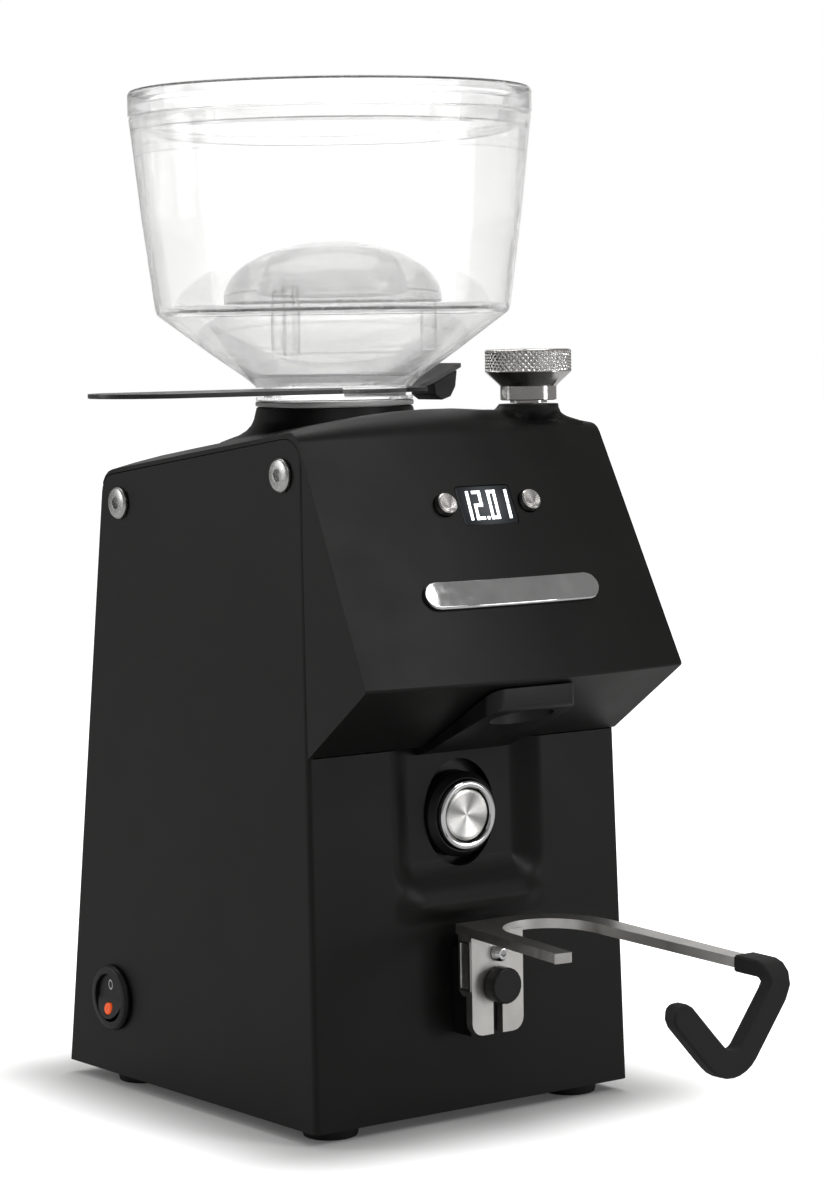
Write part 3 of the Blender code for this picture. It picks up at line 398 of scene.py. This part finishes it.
def rounded_profile(points, radius, steps=3):
    """The same profile with each corner between its ends rounded by a short curve."""
    out = []
    for k, corner in enumerate(points):
        if corner[0] == 0 or k in (0, len(points) - 1):
            out.append(corner)
            continue
        before = Vector(points[k - 1]) - Vector(corner)
        after = Vector(points[k + 1]) - Vector(corner)
        reach = min(radius, before.length * 0.45, after.length * 0.45)
        start = Vector(corner) + before.normalized() * reach
        end = Vector(corner) + after.normalized() * reach
        for j in range(steps + 1):
            t = j / steps
            point = start * (1 - t) ** 2 + Vector(corner) * 2 * t * (1 - t) + end * t ** 2
            out.append((point.x, point.y))
    return out


# ---------------------------------------------------------------- finish of the CAD nodes

def finish_node(name, material, edge):
    """The CAD solid keeps its shape, and gets a material, small edge radii and smooth shading."""
    crease = 30
    obj = NODES[name]
    obj.data.materials.clear()
    obj.data.materials.append(material)
    obj.data.polygons.foreach_set("use_smooth", [True] * len(obj.data.polygons))
    weld = obj.modifiers.new("weld", "WELD")
    weld.merge_threshold = 0.00001
    flat = obj.modifiers.new("flat", "DECIMATE")
    flat.decimate_type = "DISSOLVE"
    flat.angle_limit = radians(0.4)
    if edge:
        bevel = obj.modifiers.new("edges", "BEVEL")
        bevel.width = edge * MM
        bevel.segments = 2
        bevel.limit_method = "ANGLE"
        bevel.angle_limit = radians(crease)
        bevel.use_clamp_overlap = True
    split = obj.modifiers.new("split", "EDGE_SPLIT")
    split.split_angle = radians(crease + 2)
    split.use_edge_sharp = False
    shade = obj.modifiers.new("shade", "WEIGHTED_NORMAL")
    shade.mode = "FACE_AREA"
    shade.weight = 80


def slope_normal(x):
    """Outward normal of the bowed sloping face."""
    return Vector((2 * BOW * x / HEAD_HALF ** 2, -1, 0.5)).normalized()


def soften_boss(mesh):
    """Blends the boss of the knob into the casting, as a fillet would."""
    axis = (Vector((*KNOB, 0)) + SHIFT) * MM
    floor_z = (222 + SHIFT.z) * MM
    seat = 10.5
    longest = 1.4 * MM
    refinements = 4
    smoothings = 24

    def away(vert):
        return (Vector((vert.co.x, vert.co.y)) - axis.xy).length / MM

    def near(vert, low, high):
        return low < away(vert) < high and vert.co.z > floor_z

    shape = bmesh.new()
    shape.from_mesh(mesh)
    for _ in range(refinements):
        inside = [f for f in shape.faces if all(near(v, 0, BOSS_REACH + 4) for v in f.verts)]
        bmesh.ops.triangulate(shape, faces=inside)
        long_edges = [
            e for e in shape.edges
            if e.calc_length() > longest and all(near(v, 5, BOSS_REACH + 2) for v in e.verts)
        ]
        bmesh.ops.subdivide_edges(shape, edges=long_edges, cuts=1)
    for _ in range(smoothings):
        ring = [v for v in shape.verts if near(v, seat, BOSS_REACH) and not v.is_boundary]
        bmesh.ops.smooth_vert(shape, verts=ring, factor=0.5, use_axis_x=True, use_axis_y=True,
                              use_axis_z=True)
    shape.to_mesh(mesh)
    shape.free()


def make_head(looks):
    """The CAD casting with true normals on its bowed face, so that its holes leave no streaks."""
    source = NODES["head_casting"]
    finish_node("head_casting", looks["coat"], 0.35)
    graph = bpy.context.evaluated_depsgraph_get()
    mesh = bpy.data.meshes.new_from_object(source.evaluated_get(graph))
    source.modifiers.clear()
    soften_boss(mesh)
    normals = [corner.vector.copy() for corner in mesh.corner_normals]
    for face in mesh.polygons:
        across = face.center.x / MM - SHIFT.x
        if face.normal.angle(slope_normal(across)) < radians(4):
            for corner in face.loop_indices:
                vertex = mesh.vertices[mesh.loops[corner].vertex_index]
                normals[corner] = slope_normal(vertex.co.x / MM - SHIFT.x)
    mesh.normals_split_custom_set(normals)
    head = bpy.data.objects.new("head", mesh)
    bpy.context.scene.collection.objects.link(head)
    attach(head, "housing")
    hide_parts("head_casting")


# Look, edge radius and names of the CAD nodes that are finished in place.
FINISHES = (
    ("coat", 0.35, "body_shell rear_panel"),
    ("plastic", 0.3, "chute cable_gland start_collar power_switch_body power_rocker"),
    ("plastic", 0.3, "mounting_block thumb_screw shutter_grip micro_switch"),
    ("rubber", 0.3, "foot_front_left foot_front_right foot_rear_left foot_rear_right"),
    ("rubber", 0.3, "hook_sleeve"),
    ("plated", 0.15, "base_plate deck_plate adjuster_pinion lower_burr_carrier"),
    ("plated", 0.15, "motor_shaft upper_bearing lower_bearing"),
    ("screw", 0.12, "side_screw_front_left side_screw_front_right"),
    ("screw", 0.12, "side_screw_rear_left side_screw_rear_right"),
    ("cast", 0.2, "adjuster_ring grinding_chamber upper_burr_carrier"),
    ("cast", 0.2, "motor_upper_cover motor_lower_cover"),
    ("burr", 0, "upper_burr lower_burr"),
    ("stator", 0.15, "motor_stator motor_rotor"),
    ("copper", 0.3, "upper_winding lower_winding"),
    ("fork", 0.3, "fork_bracket"),
    ("chrome", 0.25, "badge"),
    ("chrome", 0.1, "stop_screw"),
    ("shutter", 0.2, "shutter_plate"),
    ("glass", 0.12, "display_window"),
    ("board", 0.1, "display_board control_board"),
    ("capacitor", 0.2, "run_capacitor"),
    ("lens", 0.15, "indicator_lens"),
)


def finish_nodes(looks):
    for look, edge, names in FINISHES:
        for name in names.split():
            finish_node(name, looks[look], edge)
    # The buttons' turned steel has bright bands of painted highlight in its colour.
    for name in ("button_minus", "button_plus"):
        turned_steel_painted_highlight = spun_metal(name + "_steel", middle(name), (0.34, 0.33, 0.32),
                                  (0.84, 0.82, 0.80))
        finish_node(name, turned_steel_painted_highlight, 0.15)


# ---------------------------------------------------------------- replaced pieces

def make_bowl(looks):
    """Bowl with its cone, flange and neck, and the frosted band that it stands on."""
    outer = [(21, 204), (23.5, 204), (23.5, 244.1), (28.3, 244.1), (28.3, 249.3), (32.2, 252.6)]
    outer += [(43.6, 260.6), (60.9, 273.5), (62.9, 275.0), (63.7, 276.9), (67.8, 308.3)]
    outer += [(71.4, 341.0), (71.8, 344.4), (71.5, 345.0)]
    inner = [(67.7, 345.0), (67.7, 339.6), (65.5, 308.3), (61.5, 277.8), (60.6, 276.0)]
    inner += [(59.4, 275.0), (42.3, 262.6), (31.0, 254.8), (24.0, 251.6), (21, 250.4)]
    profile = rounded_profile(outer + inner, 0.5)
    centre = (0, AXIS_Y, 0)
    bowl = turned("bowl", profile, centre, "Z", 128, looks["clear"], "hopper")
    cut_slot(bowl)
    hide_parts("hopper_bowl")
    band = [(24.9, 242.1), (28.2, 242.1), (28.45, 242.4), (28.45, 243.5), (28.2, 243.8)]
    band += [(24.9, 243.8)]
    collar = turned("collar", rounded_profile(band, 0.2), centre, "Z", 96, looks["frosted"],
                    "housing")
    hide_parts("hopper_collar")


def cut_slot(bowl):
    """Cuts the shutter's slot right through the bowl's flange."""
    slot_middle = 247.05
    length, width, height = 80, 49.2, 3.3
    mesh = bpy.data.meshes.new("slot_cutter")
    shape = bmesh.new()
    bmesh.ops.create_cube(shape, size=1.0)
    shape.to_mesh(mesh)
    shape.free()
    cutter = bpy.data.objects.new("slot_cutter", mesh)
    cutter.matrix_world = (
        Matrix.Translation((Vector((0, AXIS_Y, slot_middle)) + SHIFT) * MM)
        @ Matrix.Diagonal((length * MM, width * MM, height * MM, 1.0))
    )
    bpy.context.scene.collection.objects.link(cutter)
    apply_boolean(bowl, cutter)


def apply_boolean(obj, cutter):
    modifier = obj.modifiers.new("cut", "BOOLEAN")
    modifier.operation = "DIFFERENCE"
    modifier.solver = "EXACT"
    modifier.object = cutter
    bpy.context.view_layer.update()
    graph = bpy.context.evaluated_depsgraph_get()
    result = bpy.data.meshes.new_from_object(obj.evaluated_get(graph))
    obj.modifiers.clear()
    obj.data = result
    obj.data.set_sharp_from_angle(angle=radians(32))
    bpy.data.objects.remove(cutter, do_unlink=True)


def make_lid(looks):
    """Clear lid with its skirt, and two grey rings of painted shade at the edges that show grey
    where the plastic is thick.
    """
    lid = [(0, 351.6), (63.3, 351.6), (65.3, 349.6), (65.4, 341.0), (67.2, 341.0), (67.3, 345.4)]
    lid += [(72.1, 345.4), (72.1, 353.4), (71.3, 354.3), (70.2, 354.6), (0, 354.6)]
    obj = turned("lid", rounded_profile(lid, 0.6), (0, AXIS_Y, 0), "Z", 128, looks["clear"],
                 "lid")
    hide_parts("hopper_lid")
    thin_ring("lid_edge_painted_shade", 71.1, 353.9, 0.42, looks["edge"], "lid")
    thin_ring("lid_skirt_edge_painted_shade", 66.3, 341.2, 0.28, looks["pale_edge_painted_shade"], "lid")


def thin_ring(name, radius, height, thick, material, body="hopper"):
    """Ring of round section about the hopper's axis; thick is the radius of the section."""
    sides = 8
    profile = [
        (radius + thick * cos(2 * pi * k / sides), height + thick * sin(2 * pi * k / sides))
        for k in range(sides)
    ]
    turned(name, profile, (0, AXIS_Y, 0), "Z", 96, material, body, 180)


def make_dome(looks):
    """Smoky dome over the neck, on three posts."""
    wall = 1.8
    inner_spring = 279.8
    inner_rise = 19.6
    centre = (0, AXIS_Y, 0)
    outer = [(DOME_RADIUS, DOME_FOOT), (DOME_RADIUS, DOME_SPRING)]
    inner = []
    for k in range(1, 18):
        angle = radians(5 * k)
        outer.append((DOME_RADIUS * cos(angle), DOME_SPRING + DOME_RISE * sin(angle)))
        inner.append(((DOME_RADIUS - wall) * cos(angle), inner_spring + inner_rise * sin(angle)))
    profile = [(0, DOME_SPRING + DOME_RISE)] + outer[::-1] + [(DOME_RADIUS - wall, DOME_FOOT)]
    profile += inner + [(0, DOME_SPRING + DOME_RISE - wall)]
    dome = turned("dome", profile, centre, "Z", 96, looks["smoky"], "hopper")
    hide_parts("hopper_dome")
    # Grey rings of painted shade at the dome's lower edge and at the bowl's step.
    thin_ring("dome_edge_painted_shade", 38.6, 279.0, 0.45, looks["edge"])
    thin_ring("bowl_step_painted_shade", 60.4, 276.6, 0.40, looks["edge"])
    make_dome_posts(looks)


def make_dome_posts(looks):
    foot = 261.2
    top = DOME_SPRING + DOME_RISE * sin(radians(28)) - 5.5
    post = [(0, foot), (2.6, foot), (3.0, foot + 0.6), (3.0, top - 2.5), (3.0, top), (0, top)]
    for k, angle in enumerate((-150, -30, 90)):
        x = POST_CIRCLE * cos(radians(angle))
        y = AXIS_Y + POST_CIRCLE * sin(radians(angle))
        turned(f"dome_post_{k}", post, (x, y, 0), "Z", 24, looks["clear"], "hopper")


def knurl(radius, along, turn):
    """Radius of the knob at a point, with a diamond knurl on its grip band."""
    if not GRIP[0] + 0.1 < along < GRIP[1] - 0.1 or radius < GRIP_RADIUS - 0.2:
        return radius
    count = 46
    pitch = 2.1
    depth = 0.6
    first = (turn * count / (2 * pi) + along / pitch) % 1.0
    second = (turn * count / (2 * pi) - along / pitch) % 1.0
    groove = max(abs(first - 0.5), abs(second - 0.5)) * 2
    return radius - depth * groove ** 2


def make_knob(looks):
    """Adjustment knob in one turned piece: bored hub, cone, knurled grip and dished top."""
    profile = [(0, 251.8), (4.3, 251.8), (4.3, 242.7), (6.55, 242.7), (6.55, 243.6), (9.6, 243.6)]
    profile += [(9.9, 243.9), (9.9, 248.5), (10.6, 249.3), (14.6, 253.0), (GRIP_RADIUS, 253.6)]
    rows = 28
    step = (GRIP[1] - GRIP[0]) / rows
    profile += [(GRIP_RADIUS, GRIP[0] + step * k) for k in range(rows + 1)]
    profile += [(15.0, 261.1), (14.6, 261.4), (11.9, 261.4), (11.5, 260.8), (0, 260.8)]
    knob = turned("knob", profile, (*KNOB, 0), "Z", 448, looks["knob"], "knob",
                  38, knurl)
    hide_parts("adjustment_knob")


def make_start_button(looks):
    """Chrome bezel and slightly dished, spun cap of the start button, with bright bands of painted
    highlight in the cap's colour.
    """
    centre = (0, 0, START_Z)
    ring = [(9.5, 18.5), (9.5, 3.2), (9.9, 2.75), (10.6, 2.6), (11.3, 2.62), (11.75, 2.85)]
    ring += [(11.9, 3.3), (11.9, 18.5)]
    chrome = turned("start_bezel", ring, centre, "Y", 96, looks["chrome"], "housing")
    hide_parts("start_ring")
    cap = [(0, 3.9), (2.0, 3.85), (4.5, 3.72), (7.4, 3.5), (8.5, 3.42), (8.9, 3.6), (9.1, 4.0)]
    cap += [(9.1, 20.5), (0, 20.5)]
    button = turned("start_cap", cap, centre, "Y", 96, looks["spun"], "start_cap")
    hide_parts("start_button")


# Lit segments of each digit: a is the top bar, then b to f clockwise, and g in the middle.
SEGMENTS = {
    "1": "bc",
    "2": "abged",
    "0": "abcdef",
}


def bar(x0, y0, x1, y1):
    """Corners of a display segment, slanted like italic digits."""
    lean = 0.08
    return [(x0 + lean * y0, y0), (x1 + lean * y0, y0), (x1 + lean * y1, y1), (x0 + lean * y1, y1)]


def digit_bars(char, left, width, height, thick):
    half = height / 2
    gap = 0.15
    places = {
        "a": bar(left, half - thick, left + width, half),
        "g": bar(left, -thick / 2, left + width, thick / 2),
        "d": bar(left, -half, left + width, -half + thick),
        "b": bar(left + width - thick, gap, left + width, half),
        "c": bar(left + width - thick, -half, left + width, -gap),
        "f": bar(left, gap, left + thick, half),
        "e": bar(left, -half, left + thick, -gap),
    }
    return [places[key] for key in SEGMENTS[char]]


def window_point(x, up, out):
    """A point of the flat display window, up the slope from its middle and out of its face."""
    y = SLOPE_TOP[0] + SLOPE_DOWN[0] * (WINDOW_S - up) - BOW + SLOPE_OUT[0] * out
    z = SLOPE_TOP[1] + SLOPE_DOWN[1] * (WINDOW_S - up) + SLOPE_OUT[1] * out
    return (x, y, z)


def make_digits(looks):
    """The numeric display reads 12.01."""
    low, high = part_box("display_window")
    width = (high.x - low.x) / MM
    step = width / 4.5
    tall = 0.47 * width
    stroke = 0.22 * step
    bars = []
    left = -width / 2 + 0.05 * step
    for char in "1201":
        bars += digit_bars(char, left + 0.12 * step, 0.72 * step, tall, stroke)
        left += step
        if char == "2":
            bars.append(bar(left, -tall / 2, left + stroke, -tall / 2 + 0.05 * width))
            left += 0.26 * step
    points = []
    faces = []
    for corners in bars:
        start = len(points)
        for level in (-0.17, -0.07):
            for x, up in corners:
                points.append(window_point(x, up, level))
        faces += [tuple(start + k for k in (4, 5, 6, 7)), tuple(start + k for k in (3, 2, 1, 0))]
        faces += [(start + k, start + (k + 1) % 4, start + 4 + (k + 1) % 4, start + 4 + k)
                  for k in range(4)]
    piece("display_digits", points, faces, looks["digits"], "housing")


def make_guide_edge(looks):
    """Bright rim on the ear of the bracket, a painted highlight. It stands for the lit edge of a
    slot: no slot is cut there.
    """
    steps = 24
    wide, long = 1.9, 1.25      # over 1, so that the rim's sides and ends have straight parts
    points = []
    for x in (-11.5, -11.1):
        for half_y, half_z in ((3.1, 8.6), (2.3, 7.8)):
            for k in range(steps):
                turn = 2 * pi * k / steps
                across = half_y * max(-1, min(1, wide * cos(turn)))
                along = half_z * max(-1, min(1, long * sin(turn)))
                points.append((x, EAR_RIM[0] + across, EAR_RIM[1] + along))
    faces = []
    for first, second in ((0, 1), (2, 3), (0, 2), (1, 3)):
        faces += ring_faces(steps, first * steps, second * steps)
    piece("guide_edge_painted_highlight", points, faces, looks["chrome"], "fork")


def make_rocker_mark(looks):
    """White ring printed on the rocker, the usual sign for off."""
    switch_y, switch_z = SWITCH
    tilt = radians(SWITCH_TILT)
    side = 68.25 - 0.01405 * switch_z       # half width of the housing there
    pivot = Vector((1.0 - side, switch_y, switch_z))
    mark_up = 4.4
    face, lean, reach = -2.23, 1.4, 9.3     # the rocker's face leans out by lean over its reach
    steps = 28
    points = []
    for radius in (1.15, 1.6):
        for k in range(steps):
            turn = 2 * pi * k / steps
            y = radius * 0.85 * cos(turn)
            z = mark_up + radius * 1.15 * sin(turn)
            x = face - lean * z / reach
            points.append(pivot + Vector((x * cos(tilt) + z * sin(tilt), y,
                                          z * cos(tilt) - x * sin(tilt))))
    faces = ring_faces(steps, 0, steps)
    piece("rocker_mark", points, faces, looks["white"], "rocker")


# ---------------------------------------------------------------- stage, lights, camera

def distance_from_base(m):
    """Metres from a point of the floor to the grinder's footprint."""
    low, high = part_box("base_plate")
    off = add_node(m, "ShaderNodeVectorMath", operation="SUBTRACT")
    link(m, coordinates(m, (1, 1, 1)), off.inputs[0])
    off.inputs[1].default_value = ((low.x + high.x) / 2, (low.y + high.y) / 2, 0)
    fold = add_node(m, "ShaderNodeVectorMath", operation="ABSOLUTE")
    link(m, off.outputs["Vector"], fold.inputs[0])
    beyond = add_node(m, "ShaderNodeVectorMath", operation="SUBTRACT")
    link(m, fold.outputs["Vector"], beyond.inputs[0])
    beyond.inputs[1].default_value = ((high.x - low.x) / 2, (high.y - low.y) / 2, 0)
    outside = add_node(m, "ShaderNodeVectorMath", operation="MAXIMUM")
    link(m, beyond.outputs["Vector"], outside.inputs[0])
    length = add_node(m, "ShaderNodeVectorMath", operation="LENGTH")
    link(m, outside.outputs["Vector"], length.inputs[0])
    return length.outputs["Value"]


def make_floor():
    """White floor with a painted shadow: its glow to the camera fades out close to the base, over
    the real shadow there, and is pure white beyond it.
    """
    size = 8.0
    shadow_reach = 60 * MM
    mesh = bpy.data.meshes.new("floor")
    mesh.from_pydata([(-size, -size, 0), (size, -size, 0), (size, size, 0), (-size, size, 0)], [],
                     [(0, 1, 2, 3)])
    m = new_material("floor_white", (0.70, 0.70, 0.70), 0.65)
    shader = shader_of(m)
    shader.inputs["Specular IOR Level"].default_value = 0.0
    shader.inputs["Emission Color"].default_value = (1, 1, 1, 1)
    vary_roughness(m, noise(m, 3, 2.0), 0.6, 0.7)
    # Painted shadow: the glow seen by the camera is weakest at the base's footprint and full from
    # shadow_reach out.
    glow = add_node(m, "ShaderNodeMapRange", interpolation_type="SMOOTHSTEP")
    glow.inputs["From Max"].default_value = shadow_reach
    glow.inputs["To Min"].default_value = 0.04
    glow.inputs["To Max"].default_value = 0.95
    link(m, distance_from_base(m), glow.inputs["Value"])
    path = add_node(m, "ShaderNodeLightPath")
    to_camera = add_node(m, "ShaderNodeMath", operation="MULTIPLY")
    link(m, glow.outputs["Result"], to_camera.inputs[0])
    link(m, path.outputs["Is Camera Ray"], to_camera.inputs[1])
    link(m, to_camera.outputs["Value"], shader.inputs["Emission Strength"])
    mesh.materials.append(m)
    floor = bpy.data.objects.new("floor", mesh)
    bpy.context.scene.collection.objects.link(floor)


def area_light(name, place_at, aim, size, power):
    data = bpy.data.lights.new(name, "AREA")
    data.shape = "RECTANGLE"
    data.size = size[0]
    data.size_y = size[1]
    data.energy = power
    obj = bpy.data.objects.new(name, data)
    obj.location = place_at
    way = Vector(aim) - Vector(place_at)
    obj.rotation_euler = way.to_track_quat("-Z", "Y").to_euler()
    bpy.context.scene.collection.objects.link(obj)


def make_world():
    """White where it is seen straight on or through clear plastic, and dimmer as a light."""
    world = bpy.data.worlds.new("studio")
    world.use_nodes = True
    nodes = world.node_tree.nodes
    links = world.node_tree.links
    seen = nodes["Background"]
    seen.inputs["Color"].default_value = (1, 1, 1, 1)
    seen.inputs["Strength"].default_value = 1.0
    light = nodes.new("ShaderNodeBackground")
    light.inputs["Color"].default_value = (1.0, 0.985, 0.965, 1)
    light.inputs["Strength"].default_value = 0.27
    path = nodes.new("ShaderNodeLightPath")
    either = nodes.new("ShaderNodeMath")
    either.operation = "MAXIMUM"
    links.new(path.outputs["Is Camera Ray"], either.inputs[0])
    links.new(path.outputs["Transmission Depth"], either.inputs[1])
    mix = nodes.new("ShaderNodeMixShader")
    links.new(either.outputs["Value"], mix.inputs["Fac"])
    links.new(light.outputs["Background"], mix.inputs[1])
    links.new(seen.outputs["Background"], mix.inputs[2])
    links.new(mix.outputs["Shader"], nodes["World Output"].inputs["Surface"])
    bpy.context.scene.world = world
    bpy.context.scene.view_settings.view_transform = "Standard"


def make_lights():
    """Soft boxes. The last two are weak, and give the bright metal something to reflect."""
    area_light("top", (0.25, 0.55, 1.8), (0, 0, 0.1), (1.5, 1.2), 15)
    area_light("front_left", (-0.7, -1.4, 1.4), (0, 0, 0.2), (0.7, 0.9), 4)
    area_light("right", (0.65, -1.4, 1.35), (0, 0, 0.2), (0.5, 0.8), 8)
    area_light("left", (-1.25, 1.2, 0.8), (0, 0, 0.3), (0.5, 1.2), 6)
    area_light("metal_shine", (0.95, -1.25, 0.2), (0, 0, 0.1), (0.35, 0.35), 1.8)
    area_light("back_right", (1.3, 1.5, 0.45), (0, 0, 0.15), (1.2, 0.6), 1.3)


CAMERA_AT = (-707.1, -919.1, 268.9)
CAMERA_YAW = 36.584
CAMERA_PITCH = -4.561
CAMERA_ROLL = -0.852
CAMERA_LENS = 101.82


def make_camera():
    """Camera at CAMERA_AT, which looks along the yaw and pitch and leans by the roll."""
    yaw = radians(CAMERA_YAW)
    pitch = radians(CAMERA_PITCH)
    roll = radians(CAMERA_ROLL)
    ahead = Vector((sin(yaw) * cos(pitch), cos(yaw) * cos(pitch), sin(pitch)))
    level = Vector((cos(yaw), -sin(yaw), 0))
    upward = level.cross(ahead)
    right = level * cos(roll) + upward * sin(roll)
    up = upward * cos(roll) - level * sin(roll)
    data = bpy.data.cameras.new("camera")
    data.lens = CAMERA_LENS
    data.sensor_width = 36.0
    data.clip_end = 50
    camera = bpy.data.objects.new("camera", data)
    turn = Matrix((right, up, -ahead)).transposed().to_4x4()
    camera.matrix_world = Matrix.Translation((Vector(CAMERA_AT) + SHIFT) * MM) @ turn
    bpy.context.scene.collection.objects.link(camera)
    bpy.context.scene.camera = camera


# ---------------------------------------------------------------- the whole scene

def make_looks():
    start = (Vector((0, 0, START_Z)) + SHIFT) * MM
    return {
        "coat": powder_coat(),
        "plastic": black_plastic(),
        "rubber": rubber(),
        "clear": clear_plastic("clear_plastic", (0.955, 0.953, 0.950), 0.72),
        "frosted": frosted_ring(),
        "chrome": metal("chrome", (0.62, 0.62, 0.63), (0.74, 0.74, 0.75), 0.04, 0.10, scale=400),
        "knob": metal("knob_steel", (0.58, 0.57, 0.56), (0.72, 0.71, 0.70), 0.10, 0.18,
                      (1, 1, 12), 500, 0.000004),
        # The start cap's turned steel, with bright bands of painted highlight in its colour.
        "spun": spun_metal("spun_steel_painted_highlight", start, (0.30, 0.30, 0.29), (0.92, 0.91, 0.89)),
        "smoky": clear_plastic("smoky_plastic", (0.66, 0.66, 0.66), 0.92),
        # Greys of the rings of painted shade along the clear plastic's thick edges.
        "edge": painted_edge_shade("clear_edge_painted_shade", (0.16, 0.16, 0.16)),
        "pale_edge_painted_shade": painted_edge_shade("pale_edge_painted_shade", (0.45, 0.45, 0.45)),
        "fork": metal("fork_steel", (0.58, 0.57, 0.55), (0.70, 0.69, 0.67), 0.30, 0.42,
                      (8, 1, 1), 500, 0.00001),
        "screw": metal("screw_steel", (0.48, 0.48, 0.47), (0.62, 0.62, 0.61), 0.22, 0.34),
        "plated": metal("plated_steel", (0.34, 0.34, 0.34), (0.46, 0.46, 0.46), 0.3, 0.45),
        "cast": metal("cast_aluminium", (0.45, 0.45, 0.45), (0.60, 0.60, 0.60), 0.38, 0.55,
                      scale=300, height=0.0001),
        "burr": metal("burr_steel", (0.38, 0.37, 0.36), (0.52, 0.51, 0.50), 0.2, 0.34),
        "stator": metal("stator_steel", (0.26, 0.26, 0.27), (0.36, 0.36, 0.37), 0.4, 0.5,
                        (1, 1, 30), 200, 0.0001),
        "copper": metal("copper_wire", (0.55, 0.20, 0.08), (0.75, 0.32, 0.14), 0.28, 0.4,
                        (1, 1, 20), 300, 0.0003),
        "shutter": painted("shutter_paint", (0.012, 0.012, 0.013), (0.020, 0.020, 0.022), 0.34),
        "glass": dark_glass(),
        "digits": glowing("display_digits", (0.92, 0.96, 1.0), 2.2),
        "lens": lens(),
        "white": painted("mark_white", (0.55, 0.55, 0.55), (0.72, 0.72, 0.72), 0.5),
        "board": board(),
        "capacitor": painted("capacitor_shell", (0.70, 0.70, 0.68), (0.82, 0.82, 0.80), 0.42),
    }


def main():
    looks = make_looks()
    finish_nodes(looks)
    make_head(looks)
    make_bowl(looks)
    make_lid(looks)
    make_dome(looks)
    make_knob(looks)
    make_start_button(looks)
    make_digits(looks)
    make_guide_edge(looks)
    make_rocker_mark(looks)
    make_floor()
    make_world()
    make_lights()
    make_camera()


main()
